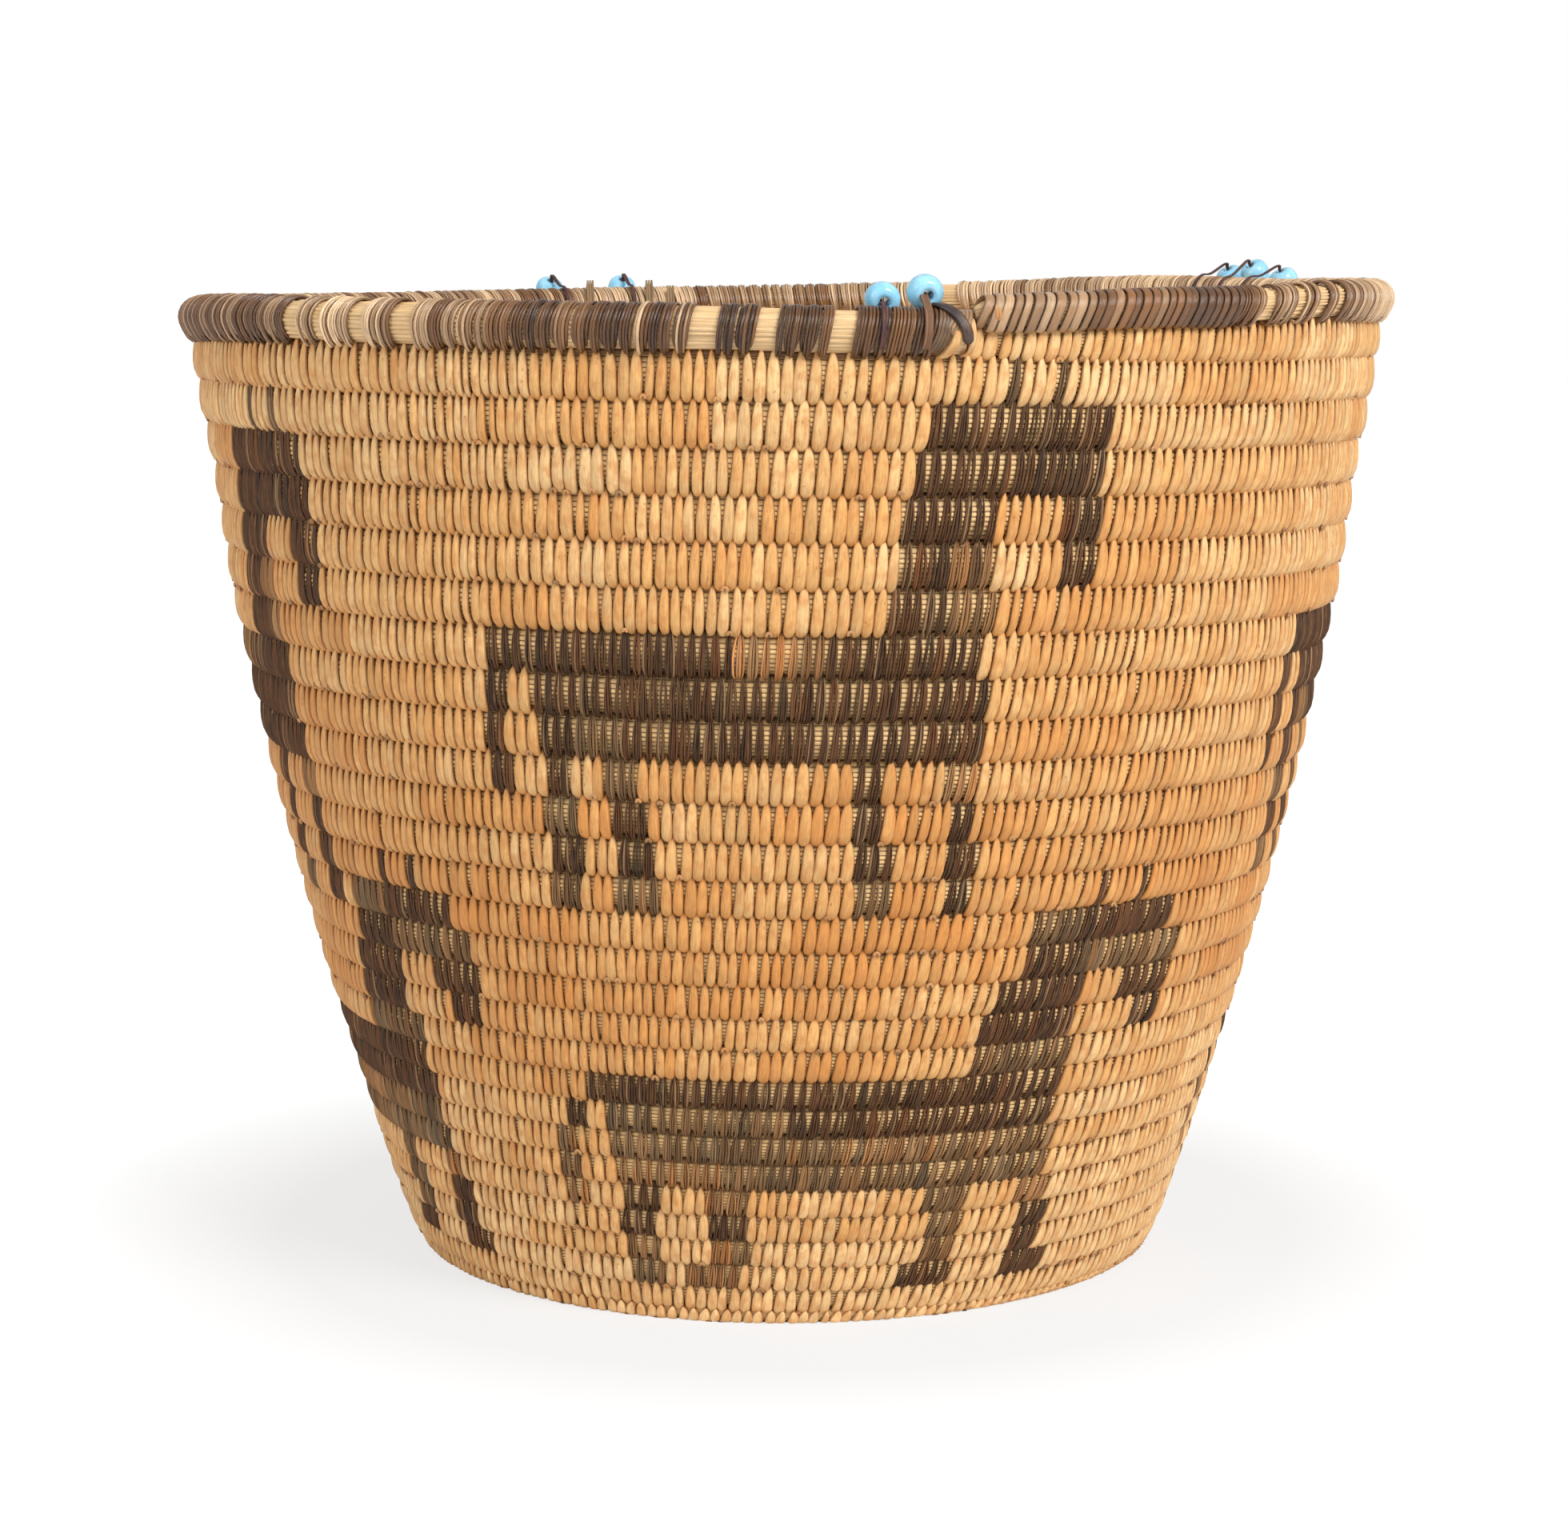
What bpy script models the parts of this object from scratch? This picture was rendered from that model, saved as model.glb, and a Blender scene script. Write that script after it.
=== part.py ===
"""A coiled grass basket: one bundle wound from the middle of the base up to the rim,
a dark splint wrapped round the rim, and glass beads tied along it with thongs."""
import math

import bmesh
import bpy
from mathutils import Matrix, Vector

MM = 0.001

# The wall's outer face, measured in the grooves between the rows
FOOT_RADIUS = 93.3 * MM
TOP_RADIUS = 145.7 * MM
FACE_HEIGHT = 227.0 * MM
FLARE_SHARE = 0.484

# Where the face draws in a little: a neck under the rim, and a tuck at the foot
NECK_DEPTH = 1.0 * MM
NECK_HEIGHT = 195.0 * MM
NECK_SPAN = 18.0 * MM
TUCK_DEPTH = 1.8 * MM
TUCK_HEIGHT = 12.0 * MM

# The rows of the wall: one spiral, thin at the foot and full at the rim
WALL_TURNS = 27
SPLIT_TURN = 13.5
FIRST_FLOOR = 2.6 * MM
LOW_RISE = 6.22 * MM
HIGH_RISE = 2.0 * (FACE_HEIGHT - FIRST_FLOOR) / WALL_TURNS - LOW_RISE
COIL_GAP = 0.45 * MM
THICKNESS_SHARE = 0.93
BULGE_SHARE = 0.15
INNER_CORNER_SHARE = 0.44

# Where the spiral ends, right of the front, and how far its last turn is pressed below an even climb
STEP_DEGREES = 15.5
PRESSED_SHARES = [0.0, 0.09, 0.2, 0.3, 0.4, 0.5, 0.6, 0.66, 0.74, 0.87, 0.94, 1.0]
PRESSED_DEPTHS = [
    1.35 * MM, 0.95 * MM, 0.75 * MM, 2.4 * MM, 2.6 * MM, 2.0 * MM,
    1.5 * MM, 0.6 * MM, 2.5 * MM, 2.9 * MM, 4.5 * MM, 5.9 * MM,
]
KEPT_SHARE = 0.45
RELEASE_SHARE = 0.07

# The flat spiral of the base
BASE_PITCH = 6.4 * MM
BASE_HEIGHT = 6.1 * MM
BASE_WAIST_SHARE = 0.5
BASE_FOOT_SHARE = 0.28
EDGE_CLEARANCE = 0.45 * MM
COARSE_TURNS = 6

# The rim: the last turn of the coil, and the splint wrapped round it
RIM_THICKNESS = 10.6 * MM
RIM_HEIGHT = 9.8 * MM
RIM_OVERHANG = 4.6 * MM
RIM_LIFT = 0.4 * MM
RIM_END_HEIGHT = 6.7 * MM
RIM_TAPER_SHARE = 0.25
RIM_NIB_SHARE = 0.012
RIM_NIB_HEIGHT_SHARE = 0.6
RIM_CORNERS = 8
WRAP_THICKNESS = 0.7 * MM
SEAT_GAP = 0.3 * MM

# Bare places in the wrapping, each from one angle to another, the way the coil goes
BARE_DEGREES = [
    (5.6, 3.9), (-0.7, -2.2), (-5.7, -7.6), (-32.7, -34.9), (-38.4, -39.8), (-43.4, -44.5),
    (-46.8, -48.6), (-197.9, -200.7), (-301.3, -302.9), (-304.8, -306.2), (-308.7, -310.3), (-313.4, -314.8),
]

# Glass beads: angle from the front, angle of the seat round the rim, and lean of the bore
BEAD_RADIUS = 3.95 * MM
BEAD_HALF_LENGTH = 3.0 * MM
BORE_RADIUS = 1.25 * MM
BEAD_ROUNDNESS = 0.6
BEAD_DEGREES = [
    (8.65, 137.0, -12.0), (12.3, 120.0, -14.0), (-153.6, 29.0, -61.0), (-161.9, 29.0, -61.0),
    (-233.3, 28.0, -62.0), (-237.5, 40.0, -50.0), (-241.6, 27.0, -63.0),
]

# The thong through each bead, tucked in beside the rim at both ends
THONG_RADIUS = 0.6 * MM
THONG_LEAD = 1.5 * MM
THONG_REACH_DEGREES = 55.0
THONG_OUTER_DEGREES = -42.0
THONG_INNER_DEGREES = 222.0
THONG_STRIDE_DEGREES = 30.0
THONG_STEPS = 2
CREST_DEGREES = 90.0

# Loose ends of splint inside the rim: angle from the front, and height over the rim
END_WIDTH = 2.6 * MM
END_THICKNESS = 0.8 * MM
END_DEPTH = 5.0 * MM
END_BEVEL = 0.25 * MM
END_PLACES = [(-156.4, 2.2 * MM), (-163.7, 2.0 * MM), (-166.3, 0.4 * MM)]

# Points in a loop, sides of the turned beads, and the share of a turn left open at a joint
LOOP_POINTS = 24
COARSE_POINTS = 12
RIM_POINTS = 48
BEAD_SIDES = 16
BEAD_PROFILE_POINTS = 9
THONG_RESOLUTION = 1
JOINT_SHARE = 0.001
WELD = 0.00001

LOOKS = {
    "straw": ((0.62, 0.40, 0.19), 0.6),
    "splint": ((0.09, 0.05, 0.03), 0.45),
    "glass": ((0.14, 0.46, 0.75), 0.12),
}


# Scene, collections and materials

def clear_scene():
    for item in list(bpy.data.objects):
        bpy.data.objects.remove(item, do_unlink=True)


def new_collection(name):
    collection = bpy.data.collections.new(name)
    bpy.context.scene.collection.children.link(collection)
    return collection


def make_material(name, look):
    colour, roughness = LOOKS[look]
    material = bpy.data.materials.new(name)
    material.use_nodes = True
    shader = material.node_tree.nodes["Principled BSDF"]
    shader.inputs["Base Color"].default_value = (*colour, 1.0)
    shader.inputs["Roughness"].default_value = roughness
    shader.inputs["Metallic"].default_value = 0.0
    return material


# The wall's form

def face_radius(z):
    share = z / FACE_HEIGHT
    flare = (TOP_RADIUS - FOOT_RADIUS) * share * (1.0 + FLARE_SHARE - FLARE_SHARE * share)
    neck = NECK_DEPTH * math.exp(-((z - NECK_HEIGHT) / NECK_SPAN) ** 2)
    tuck = TUCK_DEPTH * max(1.0 - z / TUCK_HEIGHT, 0.0) ** 2
    return FOOT_RADIUS + flare - neck - tuck


def face_slope(z):
    share = z / FACE_HEIGHT
    flare = (TOP_RADIUS - FOOT_RADIUS) / FACE_HEIGHT * (1.0 + FLARE_SHARE - 2.0 * FLARE_SHARE * share)
    past_neck = (z - NECK_HEIGHT) / NECK_SPAN
    neck = 2.0 * NECK_DEPTH / NECK_SPAN * past_neck * math.exp(-past_neck ** 2)
    tuck = 2.0 * TUCK_DEPTH / TUCK_HEIGHT * max(1.0 - z / TUCK_HEIGHT, 0.0)
    return math.atan(flare + neck + tuck)


def even_floor(turn):
    """Height of the spiral's lower edge if its last turns were not pressed down."""
    share = min(turn / WALL_TURNS, 1.0)
    growth = (HIGH_RISE - LOW_RISE) * WALL_TURNS * (share ** 3 - share ** 4 / 2.0)
    past = max(turn - WALL_TURNS, 0.0)
    return FIRST_FLOOR + LOW_RISE * min(turn, WALL_TURNS) + growth + HIGH_RISE * past


def eased(shares, values, share):
    """The value at a share between the listed ones, easing from each to the next."""
    for start, end, first, last in zip(shares, shares[1:], values, values[1:]):
        if share <= end:
            return first + (last - first) * (1.0 - math.cos(math.pi * (share - start) / (end - start))) / 2.0
    return values[-1]


def pressed(turn):
    """How far this turn lies below an even climb; less in each row under the last."""
    whole = min(math.floor(turn), WALL_TURNS)
    part = turn - whole
    depth = eased(PRESSED_SHARES, PRESSED_DEPTHS, part)
    if whole < WALL_TURNS:
        release = min((1.0 - part) / RELEASE_SHARE, 1.0)
        depth = depth * release + PRESSED_DEPTHS[0] / KEPT_SHARE * (1.0 - release)
    return depth * KEPT_SHARE ** (WALL_TURNS - whole)


def row_floor(turn):
    return even_floor(turn) - pressed(turn)


# The spiral, counted in turns: 0 at the foot of the wall, and climbing to the left at the front

def turn_at(degrees):
    """The turn of the rim that passes an angle, counted from the front the way the coil goes."""
    return WALL_TURNS + (STEP_DEGREES - degrees) / 360.0


def outward_at(turn):
    angle = math.radians(STEP_DEGREES) - 2.0 * math.pi * turn
    return Vector((math.sin(angle), -math.cos(angle), 0.0))


def place(turn, radius, height):
    return outward_at(turn) * radius + Vector((0.0, 0.0, height))


def wall_station(turn):
    """Centre, size and lean of the wall's coil at a turn."""
    floor = row_floor(turn)
    ceiling = row_floor(turn + 1.0)
    middle = (floor + ceiling) / 2.0
    slope = face_slope(middle)
    pitch = (ceiling - floor) / math.cos(slope)
    inset = (THICKNESS_SHARE / 2.0 - BULGE_SHARE) * pitch
    centre = place(turn, face_radius(middle) - inset * math.cos(slope), middle + inset * math.sin(slope))
    return centre, pitch - COIL_GAP, slope


def base_edge():
    """Outer radius of the base, one turn wider than what lies inside the wall's first row."""
    centre, size, slope = wall_station(0.0)
    inward = THICKNESS_SHARE / 2.0 * math.cos(slope) + INNER_CORNER_SHARE * math.sin(slope)
    return math.hypot(centre.x, centre.y) - inward * size - EDGE_CLEARANCE + BASE_PITCH


def base_station(turn):
    return place(turn, base_edge() + BASE_PITCH * (turn - 0.5), 0.0), BASE_PITCH - COIL_GAP, 0.0


def rim_station(turn):
    """Centre of the rim's coil, and its size as a share of the full one."""
    to_end = WALL_TURNS + 1.0 - turn
    taper = min(to_end / RIM_TAPER_SHARE, 1.0)
    height = RIM_END_HEIGHT + (RIM_HEIGHT - RIM_END_HEIGHT) * taper
    height *= RIM_NIB_HEIGHT_SHARE + (1.0 - RIM_NIB_HEIGHT_SHARE) * min(to_end / RIM_NIB_SHARE, 1.0)
    floor = row_floor(turn)
    size = height / RIM_HEIGHT
    radius = face_radius(floor) + RIM_OVERHANG - RIM_THICKNESS * size / 2.0
    return place(turn, radius, floor + RIM_LIFT + height / 2.0), size, 0.0


def turns_between(first, last, points):
    """The even points of the spiral from one turn to another, with both ends added."""
    inner = range(math.floor(first * points) + 1, math.ceil(last * points))
    return [first, *(point / points for point in inner), last]


# Sections, across and up

def wall_section():
    outer = THICKNESS_SHARE / 2.0
    shoulder = outer - BULGE_SHARE
    inner = INNER_CORNER_SHARE
    return [(outer, 0.0), (shoulder, 0.5), (-outer, inner), (-outer, -inner), (shoulder, -0.5)]


def base_section():
    crest = BASE_HEIGHT / (BASE_PITCH - COIL_GAP)
    waist = crest * BASE_WAIST_SHARE
    foot = BASE_FOOT_SHARE
    return [(0.5, waist), (0.0, crest), (-0.5, waist), (-foot, 0.0), (foot, 0.0)]


def rim_section(inset):
    half_thickness = RIM_THICKNESS / 2.0 - inset
    half_height = (RIM_HEIGHT - COIL_GAP) / 2.0 - inset
    angles = [math.pi * (2 * corner + 1) / RIM_CORNERS for corner in range(RIM_CORNERS)]
    return [(half_thickness * math.cos(angle), half_height * math.sin(angle)) for angle in angles]


def section_corners(station, section):
    centre, size, lean = station
    outward = Vector((centre.x, centre.y, 0.0)).normalized()
    upward = Vector((0.0, 0.0, 1.0))
    across = outward * math.cos(lean) - upward * math.sin(lean)
    along = upward * math.cos(lean) + outward * math.sin(lean)
    return [centre + size * (across * x + along * y) for x, y in section]


def least_gap(turns, station, section):
    """Least distance from the coil's corners to the edges of the next turn."""
    least = math.inf
    for first, last in zip(turns, turns[1:]):
        if first + 1.0 > turns[-1]:
            break
        corners = section_corners(station(first), section)
        starts = section_corners(station(first + 1.0), section)
        ends = section_corners(station(min(last + 1.0, turns[-1])), section)
        edges = list(zip(starts, starts[1:] + starts[:1])) + list(zip(starts, ends))
        least = min(least, *(edge_distance(corner, *edge) for corner in corners for edge in edges))
    return least


def edge_distance(point, start, end):
    span = end - start
    share = min(max((point - start).dot(span) / span.length_squared, 0.0), 1.0)
    return (start + span * share - point).length


# Swept bodies

def section_curve(name, section, guides):
    curve = bpy.data.curves.new(name, "CURVE")
    curve.dimensions = "2D"
    spline = curve.splines.new("POLY")
    spline.points.add(len(section) - 1)
    for point, (across, up) in zip(spline.points, section):
        point.co = (-across, up, 0.0, 1.0)
    spline.use_cyclic_u = True
    guide = bpy.data.objects.new(name, curve)
    guide.hide_render = True
    guide.display_type = "WIRE"
    guides.objects.link(guide)
    return guide


def path_curve(name, stations, caps):
    curve = bpy.data.curves.new(name, "CURVE")
    curve.dimensions = "3D"
    curve.twist_mode = "Z_UP"
    curve.use_fill_caps = caps
    spline = curve.splines.new("POLY")
    spline.points.add(len(stations) - 1)
    for point, (centre, size, lean) in zip(spline.points, stations):
        point.co = (*centre, 1.0)
        point.radius = size
        point.tilt = -lean
    return curve


def sweep(name, stations, guide, collection, material, caps=True):
    curve = path_curve(name, stations, caps)
    curve.bevel_mode = "OBJECT"
    curve.bevel_object = guide
    return curve_to_mesh(name, curve, collection, material)


def curve_to_mesh(name, curve, collection, material):
    source = bpy.data.objects.new(name + "_path", curve)
    collection.objects.link(source)
    depsgraph = bpy.context.evaluated_depsgraph_get()
    mesh = bpy.data.meshes.new_from_object(source.evaluated_get(depsgraph))
    bpy.data.objects.remove(source, do_unlink=True)
    body = bmesh.new()
    body.from_mesh(mesh)
    bmesh.ops.remove_doubles(body, verts=body.verts, dist=WELD)
    bmesh.ops.recalc_face_normals(body, faces=body.faces)
    body.to_mesh(mesh)
    body.free()
    mesh.materials.clear()
    mesh.materials.append(material)
    result = bpy.data.objects.new(name, mesh)
    collection.objects.link(result)
    return result


def make_coil(name, turns, station, guide, section, parts):
    material = make_material(name, "straw")
    coil = sweep(name, [station(turn) for turn in turns], guide, parts, material)
    if turns[-1] - turns[0] > 1.0:
        print(name, "least gap between turns", round(least_gap(turns, station, section) / MM, 3), "mm")
    return coil


# The coil: base, lower wall, upper wall

def build_base(parts, guides):
    first = 1.0 - base_edge() / BASE_PITCH
    change = math.ceil(first) + COARSE_TURNS
    coarse = turns_between(first, change, COARSE_POINTS)
    fine = turns_between(change, -JOINT_SHARE, LOOP_POINTS)
    guide = section_curve("base_section", base_section(), guides)
    make_coil("base_coil", coarse + fine[1:], base_station, guide, base_section(), parts)


def build_wall(parts, guides):
    guide = section_curve("wall_section", wall_section(), guides)
    spans = {
        "wall_coil_lower": (JOINT_SHARE, SPLIT_TURN - JOINT_SHARE),
        "wall_coil_upper": (SPLIT_TURN + JOINT_SHARE, WALL_TURNS - JOINT_SHARE),
    }
    for name, (first, last) in spans.items():
        turns = turns_between(first, last, LOOP_POINTS)
        make_coil(name, turns, wall_station, guide, wall_section(), parts)


# The rim: the coil's last turn and the splint round it

def wrap_spans():
    """First and last turn of each wrapped stretch, between the bare places."""
    starts = [WALL_TURNS + JOINT_SHARE]
    ends = []
    for before, after in BARE_DEGREES:
        ends.append(turn_at(before))
        starts.append(turn_at(after))
    ends.append(WALL_TURNS + 1.0 - JOINT_SHARE)
    return list(zip(starts, ends))


def rim_turns():
    even = turns_between(WALL_TURNS + JOINT_SHARE, WALL_TURNS + 1.0 - JOINT_SHARE, RIM_POINTS)
    nib = WALL_TURNS + 1.0 - RIM_NIB_SHARE
    taper = WALL_TURNS + 1.0 - RIM_TAPER_SHARE
    return sorted({*even, nib, taper, *(end for span in wrap_spans() for end in span)})


def build_rim(parts, guides):
    turns = rim_turns()
    core = rim_section(WRAP_THICKNESS + SEAT_GAP)
    guide = section_curve("rim_section", core, guides)
    make_coil("rim_coil", turns, rim_station, guide, core, parts)
    guide = section_curve("wrap_section", rim_section(WRAP_THICKNESS), guides)
    for number, (first, last) in enumerate(wrap_spans(), start=1):
        name = f"rim_wrap_{number:02d}"
        stations = [rim_station(turn) for turn in turns if first <= turn <= last]
        wrap = sweep(name, stations, guide, parts, make_material(name, "splint"), caps=False)
        shell = wrap.modifiers.new("splint", "SOLIDIFY")
        shell.thickness = WRAP_THICKNESS
        shell.offset = 1.0


# Beads on their thongs

def bead_profile():
    """Outer side of a bead from one mouth of its bore to the other: radius and place along."""
    points = []
    for index in range(BEAD_PROFILE_POINTS):
        angle = math.pi * (0.5 - index / (BEAD_PROFILE_POINTS - 1))
        bulge = max(math.cos(angle), 0.0) ** BEAD_ROUNDNESS
        points.append((BORE_RADIUS + (BEAD_RADIUS - BORE_RADIUS) * bulge, BEAD_HALF_LENGTH * math.sin(angle)))
    return points


def rim_point(degrees, lift):
    """A point over the wrapped rim's section, across and up from its centre."""
    angle = math.radians(degrees)
    across = (RIM_THICKNESS / 2.0 + lift) * math.cos(angle)
    return Vector((across, (RIM_HEIGHT / 2.0 + lift) * math.sin(angle)))


def bead_centre(seat_degrees, bore_degrees):
    """Centre of a bead that rests on the rim at a seat angle, across and up from the rim's centre."""
    seat = Vector((math.cos(math.radians(seat_degrees)), math.sin(math.radians(seat_degrees))))
    bore = Vector((math.cos(math.radians(bore_degrees)), math.sin(math.radians(bore_degrees))))
    rim_reach = math.hypot(RIM_THICKNESS / 2.0 * seat.x, RIM_HEIGHT / 2.0 * seat.y)
    along = abs(seat.dot(bore))
    aside = math.sqrt(max(1.0 - along ** 2, 0.0))
    bead_reach = max(radius * aside + abs(length) * along for radius, length in bead_profile())
    return seat * (rim_reach + bead_reach + SEAT_GAP)


def bead_mesh(material):
    mesh = bpy.data.meshes.new("bead_profile")
    points = [(radius, 0.0, length) for radius, length in bead_profile()]
    edges = [(index, (index + 1) % len(points)) for index in range(len(points))]
    mesh.from_pydata(points, edges, [])
    mesh.materials.append(material)
    return mesh


def rim_frame(turn):
    centre, size, lean = rim_station(turn)
    return centre, outward_at(turn), Vector((0.0, 0.0, 1.0))


def build_bead(number, degrees, seat_degrees, bore_degrees, parts):
    centre, outward, upward = rim_frame(turn_at(degrees))
    rest = bead_centre(seat_degrees, bore_degrees)
    angle = math.radians(bore_degrees)
    bore = outward * math.cos(angle) + upward * math.sin(angle)
    side = outward.cross(upward)
    name = f"bead_{number}"
    bead = bpy.data.objects.new(name, bead_mesh(make_material(name, "glass")))
    frame = Matrix((side, bore.cross(side), bore)).transposed().to_4x4()
    frame.translation = centre + outward * rest.x + upward * rest.y
    bead.matrix_world = frame
    parts.objects.link(bead)
    turned = bead.modifiers.new("turned", "SCREW")
    turned.steps = BEAD_SIDES
    turned.render_steps = BEAD_SIDES
    turned.use_merge_vertices = True
    turned.merge_threshold = WELD
    turned.use_normal_calculate = True


def thong_route(seat_degrees, bore_degrees):
    """The thong's way from outside the rim, through the bead, to inside the rim."""
    lift = THONG_RADIUS + SEAT_GAP
    route = []
    angle = THONG_OUTER_DEGREES
    while angle < seat_degrees - THONG_REACH_DEGREES:
        route.append(rim_point(angle, lift))
        angle += THONG_STRIDE_DEGREES
    centre = bead_centre(seat_degrees, bore_degrees)
    bore = Vector((math.cos(math.radians(bore_degrees)), math.sin(math.radians(bore_degrees))))
    mouth = BEAD_HALF_LENGTH
    route += [centre + bore * along for along in (mouth + THONG_LEAD, mouth, -mouth, -mouth - THONG_LEAD)]
    if seat_degrees > CREST_DEGREES:
        route.append(route[-1] + Vector((bore.y, -bore.x)) * BEAD_RADIUS)
    angle = seat_degrees + THONG_REACH_DEGREES
    while angle < THONG_INNER_DEGREES:
        route.append(rim_point(angle, lift))
        angle += THONG_STRIDE_DEGREES
    route.append(rim_point(THONG_INNER_DEGREES, lift))
    return smooth_route(route)


def smooth_route(route):
    """A smooth curve through the route's own points."""
    padded = [route[0] * 2.0 - route[1], *route, route[-1] * 2.0 - route[-2]]
    points = []
    for before, start, end, after in zip(padded, padded[1:], padded[2:], padded[3:]):
        for step in range(THONG_STEPS):
            s = step / THONG_STEPS
            points.append((
                start * 2.0 + (end - before) * s + (before * 2.0 - start * 5.0 + end * 4.0 - after) * s ** 2
                + (start * 3.0 - before - end * 3.0 + after) * s ** 3
            ) * 0.5)
    return [*points, route[-1]]


def build_thong(number, degrees, seat_degrees, bore_degrees, parts):
    centre, outward, upward = rim_frame(turn_at(degrees))
    route = thong_route(seat_degrees, bore_degrees)
    stations = [(centre + outward * point.x + upward * point.y, 1.0, 0.0) for point in route]
    name = f"bead_thong_{number}"
    curve = path_curve(name, stations, caps=True)
    curve.twist_mode = "MINIMUM"
    curve.bevel_depth = THONG_RADIUS
    curve.bevel_resolution = THONG_RESOLUTION
    curve_to_mesh(name, curve, parts, make_material(name, "splint"))


# Loose ends of splint inside the rim

def build_end(number, degrees, rise, parts):
    centre, outward, upward = rim_frame(turn_at(degrees))
    top = RIM_HEIGHT / 2.0 + rise
    height = top + END_DEPTH - RIM_HEIGHT / 2.0
    across = -(RIM_THICKNESS / 2.0 + SEAT_GAP + END_THICKNESS / 2.0)
    bpy.ops.mesh.primitive_cube_add(size=1.0)
    end = bpy.context.active_object
    end.name = f"splint_end_{number}"
    end.data.name = end.name
    end.data.transform(Matrix.Diagonal((END_WIDTH, END_THICKNESS, height, 1.0)))
    frame = Matrix((outward.cross(upward), outward * -1.0, upward)).transposed().to_4x4()
    frame.translation = centre + outward * across + upward * (top - height / 2.0)
    end.matrix_world = frame
    end.data.materials.append(make_material(end.name, "splint"))
    for collection in list(end.users_collection):
        collection.objects.unlink(end)
    parts.objects.link(end)
    bevel = end.modifiers.new("worn", "BEVEL")
    bevel.width = END_BEVEL
    bevel.segments = 1


def build():
    clear_scene()
    parts = new_collection("coiled_basket")
    guides = new_collection("sections")
    build_base(parts, guides)
    build_wall(parts, guides)
    build_rim(parts, guides)
    for number, place_degrees in enumerate(BEAD_DEGREES, start=1):
        build_bead(number, *place_degrees, parts)
        build_thong(number, *place_degrees, parts)
    for number, (degrees, rise) in enumerate(END_PLACES, start=1):
        build_end(number, degrees, rise, parts)


build()
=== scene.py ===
"""Looks of the coiled basket: its stitches, grass bundles, wrapped rim, beads and loose ends."""
import math

import bpy
import numpy as np
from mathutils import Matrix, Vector


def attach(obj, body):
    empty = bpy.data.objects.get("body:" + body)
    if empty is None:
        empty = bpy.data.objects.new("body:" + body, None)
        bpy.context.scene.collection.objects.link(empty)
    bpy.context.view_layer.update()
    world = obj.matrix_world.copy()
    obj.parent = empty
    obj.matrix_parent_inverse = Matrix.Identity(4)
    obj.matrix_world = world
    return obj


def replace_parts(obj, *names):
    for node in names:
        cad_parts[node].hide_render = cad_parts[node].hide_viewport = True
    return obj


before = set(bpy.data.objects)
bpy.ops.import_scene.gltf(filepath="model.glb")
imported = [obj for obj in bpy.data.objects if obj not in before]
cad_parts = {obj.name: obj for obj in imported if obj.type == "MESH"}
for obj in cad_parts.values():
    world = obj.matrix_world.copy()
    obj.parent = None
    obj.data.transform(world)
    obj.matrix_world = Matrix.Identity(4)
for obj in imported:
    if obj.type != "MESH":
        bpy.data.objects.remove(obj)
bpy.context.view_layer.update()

MM = 0.001

# The spiral, as the frame has it: millimetres made metres, angles in degrees, the rest shares
FOOT_RADIUS = 93.3 * MM
TOP_RADIUS = 145.7 * MM
FACE_HEIGHT = 227.0 * MM
FLARE_SHARE = 0.484
NECK_DEPTH = 1.0 * MM
NECK_HEIGHT = 195.0 * MM
NECK_SPAN = 18.0 * MM
TUCK_DEPTH = 1.8 * MM
TUCK_HEIGHT = 12.0 * MM
WALL_TURNS = 27
SPLIT_TURN = 13.5
FIRST_FLOOR = 2.6 * MM
LOW_RISE = 6.22 * MM
HIGH_RISE = 2.0 * (FACE_HEIGHT - FIRST_FLOOR) / WALL_TURNS - LOW_RISE
COIL_GAP = 0.45 * MM
THICKNESS_SHARE = 0.93
BULGE_SHARE = 0.15
INNER_CORNER_SHARE = 0.44
STEP_DEGREES = 15.5
PRESSED_SHARES = [0.0, 0.09, 0.2, 0.3, 0.4, 0.5, 0.6, 0.66, 0.74, 0.87, 0.94, 1.0]
PRESSED_DEPTHS = np.array([1.35, 0.95, 0.75, 2.4, 2.6, 2.0, 1.5, 0.6, 2.5, 2.9, 4.5, 5.9]) * MM
KEPT_SHARE = 0.45
RELEASE_SHARE = 0.07
BASE_PITCH = 6.4 * MM
BASE_HEIGHT = 6.1 * MM
EDGE_CLEARANCE = 0.45 * MM
RIM_THICKNESS = 10.6 * MM
RIM_HEIGHT = 9.8 * MM
RIM_OVERHANG = 4.6 * MM
RIM_LIFT = 0.4 * MM
RIM_END_HEIGHT = 6.7 * MM
RIM_TAPER_SHARE = 0.25
BARE_DEGREES = [
    (5.6, 3.9), (-0.7, -2.2), (-5.7, -7.6), (-32.7, -34.9), (-38.4, -39.8), (-43.4, -44.5),
    (-46.8, -48.6), (-197.9, -200.7), (-301.3, -302.9), (-304.8, -306.2), (-308.7, -310.3),
    (-313.4, -314.8),
]

# Stitches: how far apart they stand, how wide, how proud and how low
SPACING_FOOT = 2.5 * MM
SPACING_TOP = 2.72 * MM
LEAST_IN_TURN = 5
EVENED_STITCHES = 9
STITCH_SHARE = 1.08
NARROWEST, WIDEST = 1.7 * MM, 3.6 * MM
THIN_SHARE, THINNED = 0.015, 0.7
CROWN = 0.74 * MM
JITTER = 0.09 * MM
LOWEST_STITCH = 0.2 * MM

# How far one stitch differs from the next
WIDTH_SPREAD, REACH_SPREAD, LIFT_SPREAD = 0.05, 0.02, 0.05 * MM
LEAN_SPREAD, BOW, BOW_SPREAD = 0.20 * MM, 0.10 * MM, 0.16 * MM

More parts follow.
